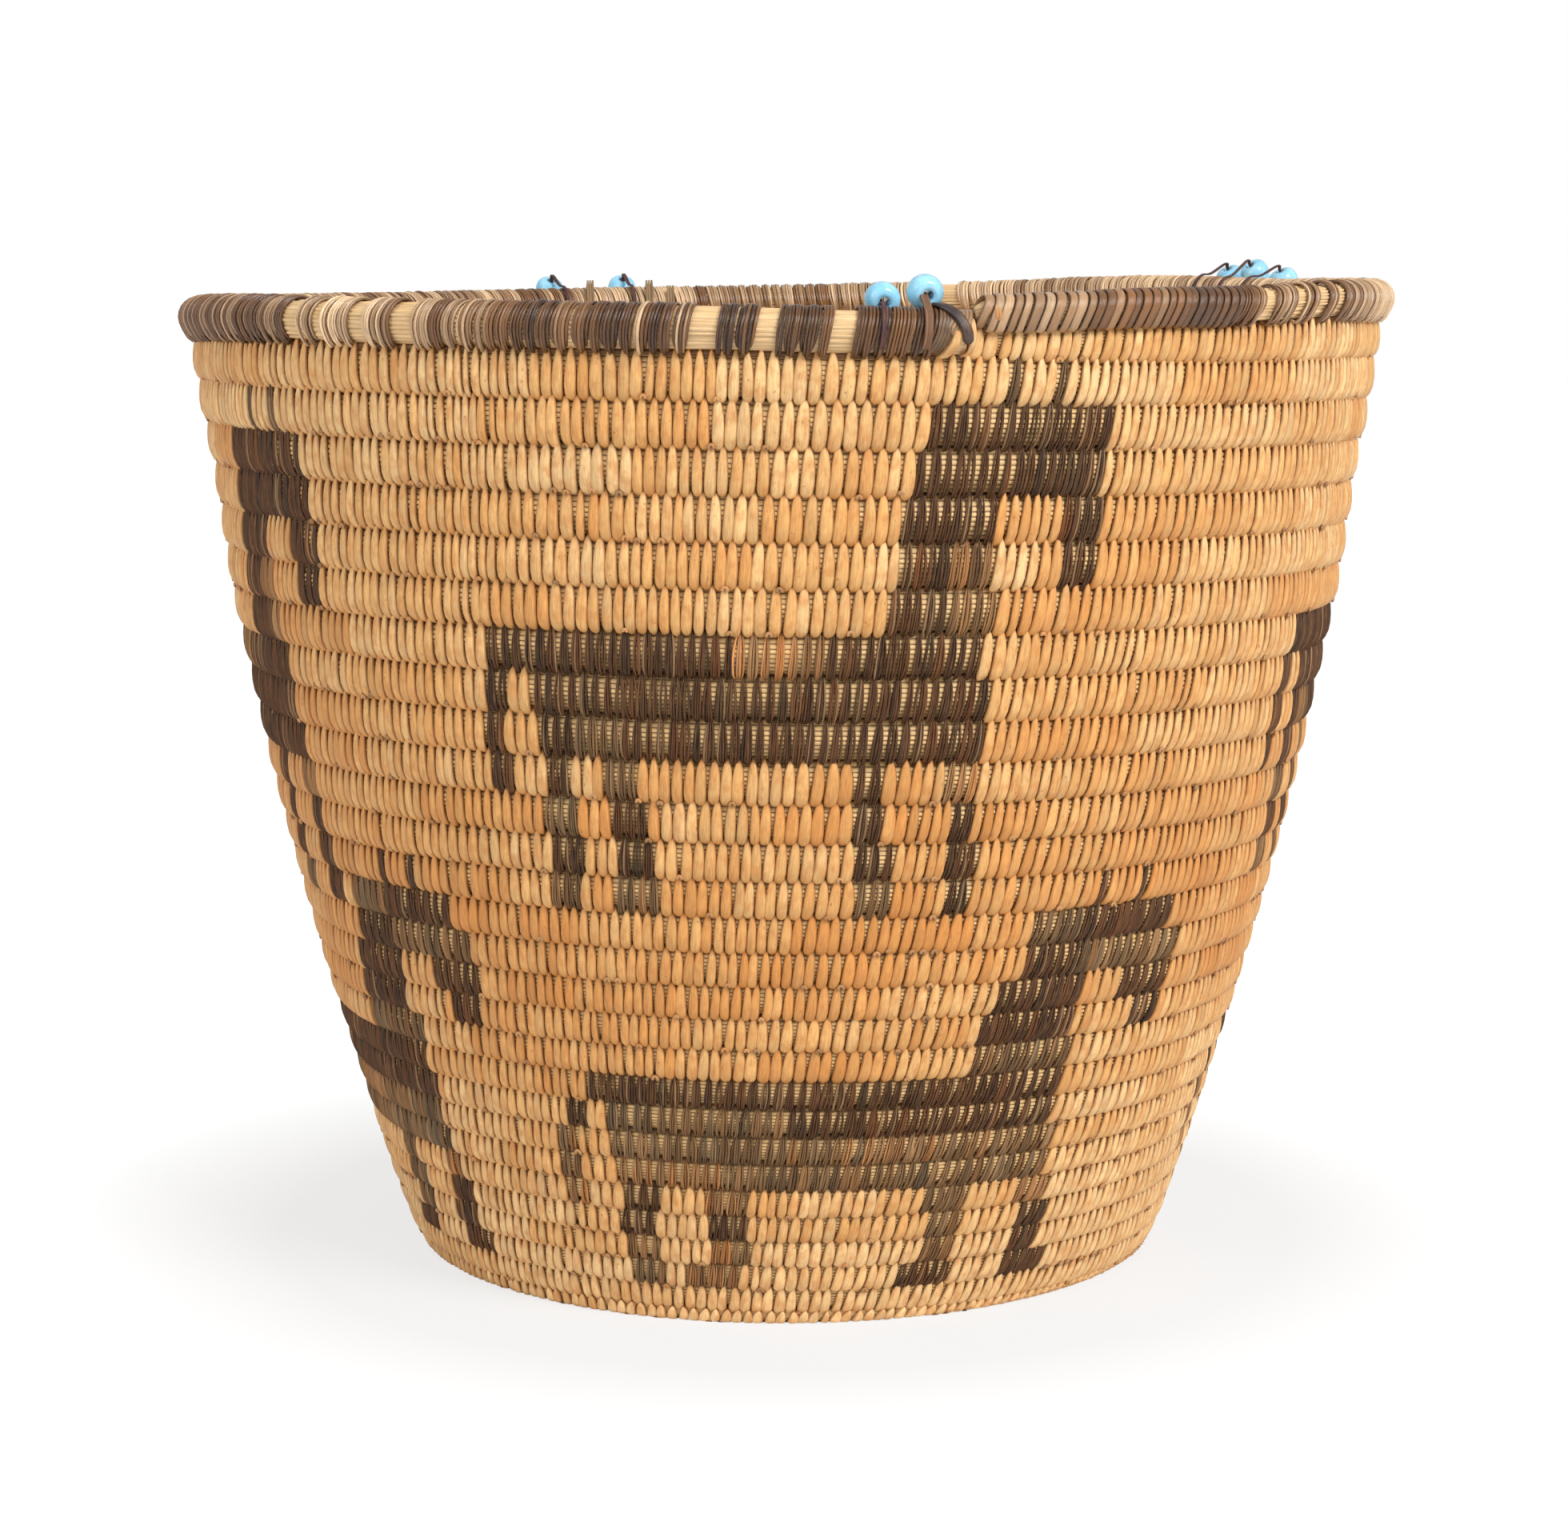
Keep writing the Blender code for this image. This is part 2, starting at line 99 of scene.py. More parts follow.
# The short row under the first, where the base's coil comes out at the front
HEEL_HEIGHT = 2.4 * MM
HEEL_DEPTH = 1.8 * MM
HEEL_TURNS = 0.4
HEEL_SPAN = 60.0

# How far a stitch's tip leans to the right, by angle from the front
LEAN_DEGREES = [-180.0, -110.0, -60.0, -25.0, 0.0, 20.0, 45.0, 90.0, 140.0, 180.0]
LEAN_TOP = np.array([0.6, 0.0, 0.1, 0.3, 0.5, 1.5, 2.1, 2.2, 1.3, 0.6]) * MM
LEAN_FOOT = np.array([0.8, 0.2, 0.2, 0.5, 1.1, 2.1, 2.7, 2.6, 1.5, 0.8]) * MM

# A stitch from foot to tip: height and stand-out as shares of its row, width and crown as shares
OUTER_STITCH = np.array([
    (-0.60, -0.80, 0.16, 0.30), (-0.57, -0.30, 0.48, 0.65), (-0.51, 0.25, 0.76, 0.90),
    (-0.41, 0.75, 0.95, 1.00), (-0.25, 1.03, 1.00, 1.00), (-0.05, 1.02, 0.98, 1.00),
    (0.15, 0.84, 0.90, 0.95), (0.33, 0.58, 0.74, 0.90), (0.48, 0.28, 0.46, 0.75),
    (0.60, -0.12, 0.14, 0.40),
])
INNER_STITCH = np.array([
    (-0.58, -0.80, 0.30, 0.30), (-0.50, 0.20, 0.80, 0.90), (-0.30, 0.85, 1.00, 1.00),
    (0.0, 1.00, 1.00, 1.00), (0.30, 0.80, 0.92, 1.00), (0.47, 0.20, 0.62, 0.75),
    (0.57, -0.80, 0.25, 0.30),
])

# A dark stitch's strands: their places, how far they spread and how they gather at its two ends
STRAND_PLACES = [-1.5, -0.5, 0.5, 1.5]
STRAND_SPREAD = 0.60 * MM
STRAND_WIDTH = 0.35 * MM
STRAND_CROWN = CROWN * 0.62
STRAND_WANDER = 0.05 * MM
GATHERED_SHARE = 0.15
GATHERED_POWER = 1.4
LIGHT_STRANDS = 0.07

# Small curled ends of splint between the feet of a row: the share of stitches with one, and their sizes
KNOT_SHARE = 0.12
KNOT_WIDTH = 0.44 * MM
KNOT_SIZES = (0.35, 0.60)
KNOT_SWELL = 0.35
KNOT_LIFT = 1.0 * MM

# The animals, as a weaver counts them: row under the rim, and spans of degrees with their shade; then
# each animal's place round the basket and how wide it is sewn
DARK, OLIVE, BROWN = 1, 2, 3
UPPER_CHART = {
    1: [(19.6, 20.6, OLIVE), (23.9, 25.0, OLIVE)],
    2: [(12.0, 29.2, DARK)],
    3: [(11.6, 29.6, DARK)],
    4: [(10.1, 18.6, DARK), (24.9, 30.0, DARK)],
    5: [(10.1, 14.4, DARK), (14.4, 19.1, BROWN), (25.4, 29.0, DARK)],
    6: [(9.7, 15.0, DARK), (15.0, 19.1, BROWN)],
    7: [(-28.2, -4.4, DARK), (-4.4, 3.7, BROWN), (3.7, 18.7, DARK)],
    8: [(-29.7, -27.4, DARK), (-25.0, 18.9, DARK)],
    9: [(-30.0, -27.7, DARK), (-24.5, -21.0, DARK), (-21.0, -16.0, OLIVE), (-16.0, 19.0, DARK)],
    10: [
        (-30.0, -27.8, DARK), (-24.1, -21.0, DARK), (-17.2, -14.3, OLIVE), (6.0, 9.7, DARK),
        (15.2, 19.3, BROWN),
    ],
    11: [(-24.5, -21.3, OLIVE), (-17.8, -13.9, DARK), (6.3, 10.0, DARK), (16.1, 19.0, DARK)],
    12: [(-24.3, -20.9, DARK), (-17.4, -13.4, DARK), (6.2, 10.3, DARK), (15.9, 19.4, DARK)],
    13: [(-24.8, -20.8, OLIVE), (-17.5, -13.0, OLIVE), (6.4, 10.4, OLIVE), (16.1, 19.4, DARK)],
}
LOWER_CHART = {
    13: [(34.9, 36.1, DARK), (40.4, 41.7, DARK)],
    14: [(26.8, 33.3, OLIVE), (33.3, 46.9, DARK)],
    15: [(26.4, 34.0, DARK), (34.0, 49.2, OLIVE)],
    16: [(23.7, 35.4, DARK), (41.4, 48.8, DARK)],
    17: [(21.8, 34.4, DARK), (43.1, 48.2, DARK)],
    18: [(21.8, 35.2, OLIVE)],
    19: [(-24.1, 34.4, DARK)],
    20: [(-26.9, -23.9, DARK), (-21.0, 0.0, OLIVE), (0.0, 35.0, DARK)],
    21: [(-28.7, -25.5, OLIVE), (-21.0, 5.0, OLIVE), (5.0, 18.0, BROWN), (18.0, 35.5, OLIVE)],
    22: [(-28.6, -25.7, OLIVE), (-21.5, -7.0, BROWN), (-7.0, 35.7, OLIVE)],
    23: [
        (-28.3, -25.4, BROWN), (-21.5, -16.2, DARK), (-10.2, -5.0, BROWN), (18.2, 23.7, OLIVE),
        (31.9, 36.7, BROWN),
    ],
    24: [(-21.4, -16.5, DARK), (-9.7, -5.3, DARK), (18.3, 23.2, OLIVE), (31.9, 37.0, DARK)],
    25: [(-21.2, -16.5, BROWN), (-10.0, -5.2, BROWN), (18.4, 23.4, OLIVE), (31.0, 36.6, DARK)],
    26: [(-21.1, -16.8, OLIVE), (-13.6, -6.7, BROWN), (15.9, 23.2, DARK), (31.0, 38.4, DARK)],
}
UPPER_PLACES = [(0.0, 1.0), (89.7, 1.0), (193.0, 1.0), (283.9, 0.89)]
LOWER_PLACES = [(-78.6, 0.86), (0.0, 1.0), (98.0, 1.0), (188.7, 1.0)]

# Colours as they look on screen, 0 to 255
CREAM = (242, 200, 140)
TAN = (228, 174, 106)
ORANGE = (214, 144, 70)
INSIDE = (250, 226, 192)
STRAW = (252, 210, 144)
# The rim's grass: its straw colour, made paler than the wall's in part as a painted highlight
RIM_STRAW_AND_HIGHLIGHT = (255, 216, 162)
KNOT = (190, 142, 92)
SHADES = {DARK: (92, 58, 30), OLIVE: (136, 102, 66), BROWN: (172, 122, 74)}
# The lightest of these is partly painted light, for the lit top and inner face of the back rim
RIM_SHADES = [(58, 30, 12), (134, 88, 46), (252, 214, 168)]
LIGHT_STRAND = (196, 156, 112)
GLASS = (176, 230, 252)
GLASS_DEEP = (136, 208, 244)
# On the next three lines the last colour is painted shade: at a splint's sides and ends, and between stalks
SPLINT_CLOUD, SPLINT_SPOT, SPLINT_EDGE_SHADE = (208, 136, 68), (140, 84, 40), (128, 76, 34)
DARK_CLOUD, DARK_STREAK_AND_SHEEN, DARK_EDGE_SHADE = (140, 98, 60), (186, 146, 104), (34, 21, 13)
GRASS_CLOUD, GRASS_VALLEY_SHADE = (230, 184, 120), (104, 62, 28)
THONG_SHADES = [(78, 46, 50), (128, 92, 66)]
END_SHADE = (158, 132, 98)

# Where the wall is creamier or deeper in colour: turn, and share of orange
TONES = [
    (0.0, 0.12), (4.0, 0.30), (8.0, 0.56), (13.0, 0.80), (16.0, 0.64), (22.0, 0.48), (25.0, 0.38),
    (27.0, 0.32),
]
LENGTH_TONE, STITCH_TONE, STITCH_TINT = 0.50, 0.10, 0.06
STITCHES_OF_A_LENGTH = (4, 15)

# The paler stretch at the lower right is painted light, from the key lamp and the floor's bounce: how much
# paler, and where it starts and fades by angle and by turn
PAINTED_LIGHT_TONE = 0.30
PAINTED_LIGHT_DEGREES, PAINTED_LIGHT_FADE_DEGREES = 10.0, 30.0
PAINTED_LIGHT_TURN, PAINTED_LIGHT_FADE_TURNS = 11.0, 4.0

# How light the rim's wrapping is, from black-brown to tan, by the angle the coil has reached. Round the
# back, from -205 to -155 degrees, the light tones are partly painted light, where the top and the inner
# face of the back rim are lit from above
RIM_TONE_DEGREES = [
    -344.5, -336.0, -330.0, -325.0, -321.5, -317.0, -315.0, -305.0, -300.0, -292.0, -240.0, -205.0,
    -203.5, -193.5, -192.0, -169.5, -168.0, -157.0, -155.0, -110.0, -90.0, -70.0, -55.0,
    -47.0, -42.0, -34.0, -26.0, -18.0, -9.0, -1.0, 6.0, 15.5,
]
RIM_TONES = [
    0.72, 0.62, 0.50, 0.40, 0.12, 0.12, 0.52, 0.52, 0.38, 0.76, 0.76, 0.84,
    1.00, 1.00, 0.66, 0.66, 0.98, 0.98, 0.66, 0.60, 0.50, 0.42, 0.40,
    0.55, 0.92, 0.80, 0.45, 0.25, 0.10, 0.05, 0.30, 0.25,
]

# Past this angle the rim's wrapping is in wide single bands
BAND_DEGREES = -318.0

# The rim's two ends at the step: in what part of a turn and from what share each rounds off, and where
# the wrapping starts
NIB_TURNS = 0.005
NIB_SHARE = 0.05
BUTT_TURNS = 0.005
BUTT_SHARE = 0.80
FIRST_WRAP_DEGREES = 12.7

# The camera, solved from the photograph: 1960 by 1901 pixels
CAMERA_DISTANCE = 899.11 * MM
CAMERA_HEIGHT = 239.79 * MM
CAMERA_PITCH = 7.573
CAMERA_YAW = 0.015
FOCAL_PIXELS = 4431.63
IMAGE_WIDTH = 1960
SENSOR = 36.0

# Beads and thongs, as the frame has them: each bead's angle from the front, then its seat and its bore's
# angle in the rim's section
BEAD_DEGREES = [
    (8.65, 137.0, -12.0), (12.3, 120.0, -14.0), (-153.6, 29.0, -61.0), (-161.9, 29.0, -61.0),
    (-233.3, 28.0, -62.0), (-237.5, 40.0, -50.0), (-241.6, 27.0, -63.0),
]
BEAD_RADIUS = 3.95 * MM
BEAD_HALF_LENGTH = 3.0 * MM
BORE_RADIUS = 1.25 * MM
BEAD_ROUNDNESS = 0.6
SEAT_GAP = 0.3 * MM
THONG_RADIUS = 0.6 * MM
THONG_LEAD = 1.5 * MM
THONG_REACH_DEGREES = 55.0
THONG_OUTER_DEGREES = -42.0
THONG_INNER_DEGREES = 222.0
THONG_STRIDE_DEGREES = 30.0
END_PLACES = [(-156.4, 2.2 * MM), (-163.7, 2.0 * MM), (-166.3, 0.4 * MM)]

# The glass and the thongs as seen: facets, the bore's own shape, the thongs' strands and half widths,
# and how far they drift and waver aside
GLASS_SIDES, GLASS_ROWS = 40, 21
BORE_SHARE = 0.92
MOUTH_SHARE = 0.9
WIDE_THONG = 2
THONG_STRANDS = {True: [-0.55 * MM, 0.0, 0.55 * MM], False: [-0.22 * MM, 0.22 * MM]}
THONG_WIDTHS = {True: 0.40 * MM, False: 0.34 * MM}
THONG_DRIFT = 2.2 * MM
WAVER = 0.12 * MM

# The loose ends: their depth in the basket, steps, strands and half width
END_DEPTH, END_STEPS, END_WANDER = 5.0 * MM, 8, 0.08 * MM
END_STRANDS, END_WIDTH, END_GAP = [-0.75 * MM, 0.0, 0.75 * MM], 0.42 * MM, 0.4 * MM

# Splint at the step: half width, colour, strands, and its path in degrees from the front, degrees round
# the rim's section and millimetres off it
STEP_STRIPS = [
    ("dark_end", 1.20 * MM, (52, 34, 34), 1,
     [(12.4, 98, 0.2), (13.2, 62, 0.8), (14.2, 30, 1.3), (14.8, 0, 1.6), (14.9, -22, 1.4)]),
    ("dark_tie", 0.42 * MM, (112, 84, 58), 4,
     [(13.6, 120, 0.1), (13.4, 60, 0.4), (12.9, 0, 0.5), (12.3, -50, 0.4), (12.0, -84, 0.2)]),
    ("dark_wrap", 0.44 * MM, (158, 124, 88), 5,
     [(15.1, 130, 0.2), (15.0, 80, 0.4), (14.7, 40, 0.6), (13.9, 5, 0.5), (13.5, -12, 0.1)]),
    ("cream_end", 0.70 * MM, (240, 196, 136), 1,
     [(15.4, 50, 0.5), (15.45, 0, 0.8), (15.3, -50, 0.6), (14.8, -84, 0.3)]),
    ("cream_stitch", 1.15 * MM, (232, 190, 130), 1,
     [(14.3, 6, 0.3), (13.8, -30, 0.7), (13.2, -62, 0.8), (13.0, -88, 0.2)]),
    ("orange_bit", 0.42 * MM, (186, 138, 88), 2,
     [(-342.6, 20, 0.0), (-342.6, 0, 0.1), (-342.5, -20, 0.1), (-342.6, -34, 0.0)]),
]
STRIP_STEPS = 14

# The button in the middle of the base: its strands, their spacing and the button's reach
BUTTON_STRANDS, BUTTON_STEPS = 6, 9
BUTTON_SPACING, BUTTON_RADIUS, BUTTON_WIDTH, BUTTON_CROWN = 1.4 * MM, 4.6 * MM, 0.78 * MM, 0.5 * MM
BUTTON_FACES = [("inside", BASE_HEIGHT - 0.7 * MM, 1.0), ("under", 0.8 * MM, -1.0)]

SEED = 7
SEED_SPREAD = 50.0
UP = np.array([0.0, 0.0, 1.0])


# The spiral

def degrees_at(turn):
    """Angle from the front, between -180 and 180."""
    return (STEP_DEGREES - 360.0 * turn + 180.0) % 360.0 - 180.0


def even_floor(turn):
    share = np.clip(turn / WALL_TURNS, 0.0, 1.0)
    growth = (HIGH_RISE - LOW_RISE) * WALL_TURNS * (share ** 3 - share ** 4 / 2.0)
    past = np.maximum(turn - WALL_TURNS, 0.0)
    return FIRST_FLOOR + LOW_RISE * np.minimum(turn, WALL_TURNS) + growth + HIGH_RISE * past


def eased(places, values, at):
    """Values between the listed ones, easing from each to the next."""
    index = np.clip(np.searchsorted(places, at) - 1, 0, len(places) - 2)
    places, values = np.asarray(places), np.asarray(values)
    share = np.clip((at - places[index]) / (places[index + 1] - places[index]), 0.0, 1.0)
    return values[index] + (values[index + 1] - values[index]) * (1.0 - np.cos(math.pi * share)) / 2.0


def pressed(turn):
    whole = np.minimum(np.floor(turn), WALL_TURNS)
    part = turn - whole
    depth = eased(PRESSED_SHARES, PRESSED_DEPTHS, part)
    release = np.where(whole < WALL_TURNS, np.minimum((1.0 - part) / RELEASE_SHARE, 1.0), 1.0)
    depth = depth * release + PRESSED_DEPTHS[0] / KEPT_SHARE * (1.0 - release)
    return depth * KEPT_SHARE ** (WALL_TURNS - whole)


def row_floor(turn):
    return even_floor(turn) - pressed(turn)


def face_radius(height):
    share = height / FACE_HEIGHT
    flare = (TOP_RADIUS - FOOT_RADIUS) * share * (1.0 + FLARE_SHARE - FLARE_SHARE * share)
    neck = NECK_DEPTH * np.exp(-((height - NECK_HEIGHT) / NECK_SPAN) ** 2)
    tuck = TUCK_DEPTH * np.maximum(1.0 - height / TUCK_HEIGHT, 0.0) ** 2
    return FOOT_RADIUS + flare - neck - tuck


def face_slope(height):
    share = height / FACE_HEIGHT
    flare = (TOP_RADIUS - FOOT_RADIUS) / FACE_HEIGHT * (1.0 + FLARE_SHARE - 2.0 * FLARE_SHARE * share)
    past_neck = (height - NECK_HEIGHT) / NECK_SPAN
    neck = 2.0 * NECK_DEPTH / NECK_SPAN * past_neck * np.exp(-past_neck ** 2)
    tuck = 2.0 * TUCK_DEPTH / TUCK_HEIGHT * np.maximum(1.0 - height / TUCK_HEIGHT, 0.0)
    return np.arctan(flare + neck + tuck)


def wall_station(turn):
    """Radius, height, pitch and lean of the wall's coil; before turn 0 it still comes out of the base."""
    floor = np.maximum(row_floor(turn), 0.0)
    ceiling = np.maximum(row_floor(turn + 1.0), HEEL_HEIGHT)
    middle = (floor + ceiling) / 2.0
    slope = face_slope(middle)
    pitch = (ceiling - floor) / np.cos(slope)
    inset = (THICKNESS_SHARE / 2.0 - BULGE_SHARE) * pitch
    front = np.exp(-((degrees_at(turn) / HEEL_SPAN) ** 2))
    heel = HEEL_DEPTH * np.clip(-turn / HEEL_TURNS, 0.0, 1.0) * front
    radius = face_radius(middle) + heel - inset * np.cos(slope)
    return radius, middle + inset * np.sin(slope), pitch, slope


def base_edge():
    radius, height, pitch, slope = wall_station(np.array(0.0))
    inward = THICKNESS_SHARE / 2.0 * np.cos(slope) + INNER_CORNER_SHARE * np.sin(slope)
    return float(radius - inward * (pitch - COIL_GAP) - EDGE_CLEARANCE + BASE_PITCH)


BASE_EDGE = base_edge()
FIRST_TURN = 1.0 - BASE_EDGE / BASE_PITCH


def base_station(turn):
    """As the wall's, for the base: its coil lies on its side."""
    radius = np.maximum(BASE_EDGE + BASE_PITCH * (turn - 0.5), 1.0 * MM)
    flat = np.ones_like(radius)
    return radius, flat * BASE_HEIGHT / 2.0, flat * BASE_PITCH, flat * math.pi / 2.0


def outward_at(turn):
    angle = math.radians(STEP_DEGREES) - 2.0 * math.pi * turn
    return np.stack([np.sin(angle), -np.cos(angle), np.zeros_like(angle)], -1)


def placed(turn, reach, height):
    """Points that far from the axis, at turns of the spiral, and that high."""
    points = outward_at(turn) * np.asarray(reach)[..., None]
    points[..., 2] = height
    return points


def rim_station(turn):
    """Radius and height of the rim's centre, and its section's thickness and height, with rounded ends."""
    taper = np.clip((WALL_TURNS + 1.0 - turn) / RIM_TAPER_SHARE, 0.0, 1.0)
    height = RIM_END_HEIGHT + (RIM_HEIGHT - RIM_END_HEIGHT) * taper
    thickness = RIM_THICKNESS * height / RIM_HEIGHT
    floor = row_floor(turn)
    radius, middle = face_radius(floor) + RIM_OVERHANG - thickness / 2.0, floor + RIM_LIFT + height / 2.0
    nib = np.sqrt(np.clip((WALL_TURNS + 1.0 - turn) / NIB_TURNS, NIB_SHARE, 1.0))
    butt = BUTT_SHARE + (1.0 - BUTT_SHARE) * np.sqrt(np.clip((turn - WALL_TURNS) / BUTT_TURNS, 0.0, 1.0))
    return radius, middle - height * (1.0 - butt) / 2.0, thickness * nib * butt, height * nib * butt


# Strands: closed strips swept along many short paths at once. A section's flat back, the looks that a
# mesh holds, where sides and caps lie in a strand's map cell, and the lowest point of any strand

SPLINT_BACK = [(-0.6, -0.5), (0.6, -0.5)]
LOOKS = [("grain", "FLOAT_VECTOR", "vector"), ("edge_shade", "FLOAT", "value"), ("tint", "FLOAT_COLOR", "color")]
MAP_MARGIN = 0.06
CAP_MAP = 0.02
LOWEST = 0.05 * MM


def unit(vectors):
    return vectors / np.maximum(np.linalg.norm(vectors, axis=-1, keepdims=True), 1e-12)


def crowned(points, fullness):
    """A splint's section in half widths and crown heights: rounded over, flat behind."""
    angles = np.linspace(0.0, math.pi, points)
    face = np.stack([np.cos(angles), np.sin(angles) ** fullness], -1)
    return np.concatenate([face, SPLINT_BACK])


def sweep(centre, normal, width, height, section, ring=False):
    if ring:
        tangent = np.roll(centre, -1, 1) - np.roll(centre, 1, 1)
    else:
        tangent = np.gradient(centre, axis=1)
    tangent = unit(tangent)
    side = unit(np.cross(tangent, normal))
    up = np.cross(side, tangent)
    across = (width[..., None] * section[:, 0])[..., None] * side[:, :, None]
    over = (height[..., None] * section[:, 1])[..., None] * up[:, :, None]
    return centre[:, :, None] + across + over


def strand_group(centre, normal, width, height, section, tint, rng=None, ring=False, ends=0.0):
    """Points and looks of strands; painted shade at their sides, and at their ends to the given share."""
    count, along, around = centre.shape[0], centre.shape[1], len(section)
    steps = np.linalg.norm(np.diff(centre, axis=1), axis=-1).cumsum(1)
    run = np.concatenate([np.zeros((count, 1)), steps], 1)
    grain = np.zeros((count, along, around, 3))
    grain[..., 0] = width[..., None] * section[:, 0] / MM
    grain[..., 1] = run[..., None] / MM
    if rng:
        grain[..., 2] = rng.random(count)[:, None, None] * SEED_SPREAD
    from_end = np.minimum(np.arange(along), np.arange(along)[::-1])[:, None]
    # Painted shade: darkest at the section's sides, and at the ends to the given share
    edge_shade = np.maximum(np.abs(section[:, 0]), ends * (1.0 - from_end / 2.0))
    colour = np.ones((count, along, around, 4))
    colour[..., :3] = tint[:, None, None, :]
    return {
        "points": sweep(centre, normal, width, height, section, ring),
        "grain": grain,
        "edge_shade": np.broadcast_to(edge_shade, colour.shape[:3]),
        "tint": colour,
        "ring": ring,
    }


def faces_of(count, along, around, ring):
    """A group's sides, then its caps: corner indices, places in a map cell, and the strand of each."""
    rows = along if ring else along - 1
    strand, row, column = np.indices((count, rows, around)).reshape(3, -1)
    corners = [(row, column), (row + 1, column), (row + 1, column + 1), (row, column + 1)]
    sides = np.stack([(strand * along + a % along) * around + b % around for a, b in corners], -1)
    across = np.stack([b / around for a, b in corners], -1)
    up = np.stack([a / rows for a, b in corners], -1)
    inner = 1.0 - 2.0 * MAP_MARGIN
    yield sides, MAP_MARGIN + inner * across, MAP_MARGIN + inner * up, strand
    if not ring:
        angle = np.arange(around)
        starts = np.arange(count)[:, None] * along * around + angle
        caps = np.concatenate([starts, starts[:, ::-1] + (along - 1) * around])
        strand = np.tile(np.arange(count), 2)
        yield caps, CAP_MAP * (1.0 + np.cos(angle)), CAP_MAP * (1.0 + np.sin(angle)), strand


def joined(groups, key):
    return np.concatenate([group[key].ravel() for group in groups]).astype(np.float32)


def linked(name, data):
    piece = bpy.data.objects.new(name, data)
    bpy.context.scene.collection.objects.link(piece)
    return piece


def strand_piece(name, groups, material):
    """One object from several groups of strands, with a map cell for each strand."""
    corner, total, map_places = [], [], []
    offset, done = 0, 0
    cells = math.ceil(math.sqrt(sum(len(group["points"]) for group in groups)))
    for group in groups:
        count, along, around = group["points"].shape[:3]
        for faces, across, up, strand in faces_of(count, along, around, group["ring"]):
            cell = (strand + done)[:, None]
            map_places.append(np.stack([cell % cells + across, cell // cells + up], -1).reshape(-1, 2))
            corner.append(faces.ravel() + offset)
            total.append(np.full(len(faces), faces.shape[1]))
        offset += count * along * around
        done += count
    mesh = bpy.data.meshes.new(name)
    points = joined(groups, "points").reshape(-1, 3)
    points[:, 2] = np.maximum(points[:, 2], LOWEST)
    corner, total = np.concatenate(corner), np.concatenate(total)
    mesh.vertices.add(len(points))
    mesh.vertices.foreach_set("co", points.ravel())
    mesh.loops.add(len(corner))
    mesh.loops.foreach_set("vertex_index", corner.astype(np.int32))
    mesh.polygons.add(len(total))
    mesh.polygons.foreach_set("loop_start", (total.cumsum() - total).astype(np.int32))
    mesh.update(calc_edges=True)
    mesh.validate()
    for look, kind, field in LOOKS:
        mesh.attributes.new(look, kind, "POINT").data.foreach_set(field, joined(groups, look))
    layer = mesh.uv_layers.new(name="OFBake")
    layer.uv.foreach_set("vector", (np.concatenate(map_places) / cells).astype(np.float32).ravel())
    mesh.polygons.foreach_set("use_smooth", np.ones(len(total), bool))
    mesh.materials.append(material)
    return linked(name, mesh)


def linear(colour):
    """Screen colours, 0 to 255, as the shader's linear values."""
    share = np.asarray(colour, float) / 255.0
    return np.where(share <= 0.04045, share / 12.92, ((share + 0.055) / 1.055) ** 2.4)


def opaque(colour):
    return (*linear(colour), 1.0)


# Materials

class Look:
    """A material's node tree, built a node at a time."""

    def __init__(self, name, roughness):
        self.material = bpy.data.materials.new(name)
        self.material.use_nodes = True
        self.tree = self.material.node_tree
        self.shader = self.tree.nodes["Principled BSDF"]
        self.shader.inputs["Roughness"].default_value = roughness

    def node(self, kind, **settings):
        node = self.tree.nodes.new(kind)
        for name, value in settings.items():
            setattr(node, name, value)
        return node

    def link(self, source, target):
        self.tree.links.new(source, target)

    def strand_values(self):
        """A strand's grain, tint and painted shade at its edges, as the mesh holds them."""
        kinds = (("grain", "Vector"), ("tint", "Color"), ("edge_shade", "Fac"))
        return [self.node("ShaderNodeAttribute", attribute_name=name).outputs[kind] for name, kind in kinds]

    def noise(self, vector, scale, detail=3.0, roughness=0.55):
        """Noise over a vector stretched by a scale for each axis."""
        stretch = self.node("ShaderNodeVectorMath", operation="MULTIPLY")
        stretch.inputs[1].default_value = scale
        self.link(vector, stretch.inputs[0])
        node = self.node("ShaderNodeTexNoise")
        for name, value in (("Scale", 1.0), ("Detail", detail), ("Roughness", roughness)):
            node.inputs[name].default_value = value
        self.link(stretch.outputs[0], node.inputs["Vector"])
        return node.outputs["Fac"]

    def spread(self, value, low, high, to_low, to_high):
        node = self.node("ShaderNodeMapRange", clamp=True)
        for socket, number in zip(node.inputs[1:5], (low, high, to_low, to_high)):
            socket.default_value = number
        self.link(value, node.inputs[0])
        return node.outputs[0]

    def mixed(self, share, first, second, blend="MIX"):
        node = self.node("ShaderNodeMix", data_type="RGBA", blend_type=blend)
        for socket, value in zip((node.inputs[0], node.inputs[6], node.inputs[7]), (share, first, second)):
            if isinstance(value, bpy.types.NodeSocket):
                self.link(value, socket)
            else:
                socket.default_value = value
        return node.outputs[2]

    def stained(self, colour, value, low, high, most, stain):
        """The colour with a stain that grows to its most as the value goes from low to high."""
        return self.mixed(self.spread(value, low, high, 0.0, most), colour, opaque(stain))

    def shaded(self, colour, value, low, high, darkest, lightest):
        return self.mixed(1.0, colour, self.spread(value, low, high, darkest, lightest), "MULTIPLY")

    def finished(self, colour, height, strength, distance):
        """The material, once it has its colour and its bump."""
        self.link(colour, self.shader.inputs["Base Color"])
        node = self.node("ShaderNodeBump")
        node.inputs["Strength"].default_value = strength
        node.inputs["Distance"].default_value = distance
        self.link(height, node.inputs["Height"])
        self.link(node.outputs["Normal"], self.shader.inputs["Normal"])
        return self.material


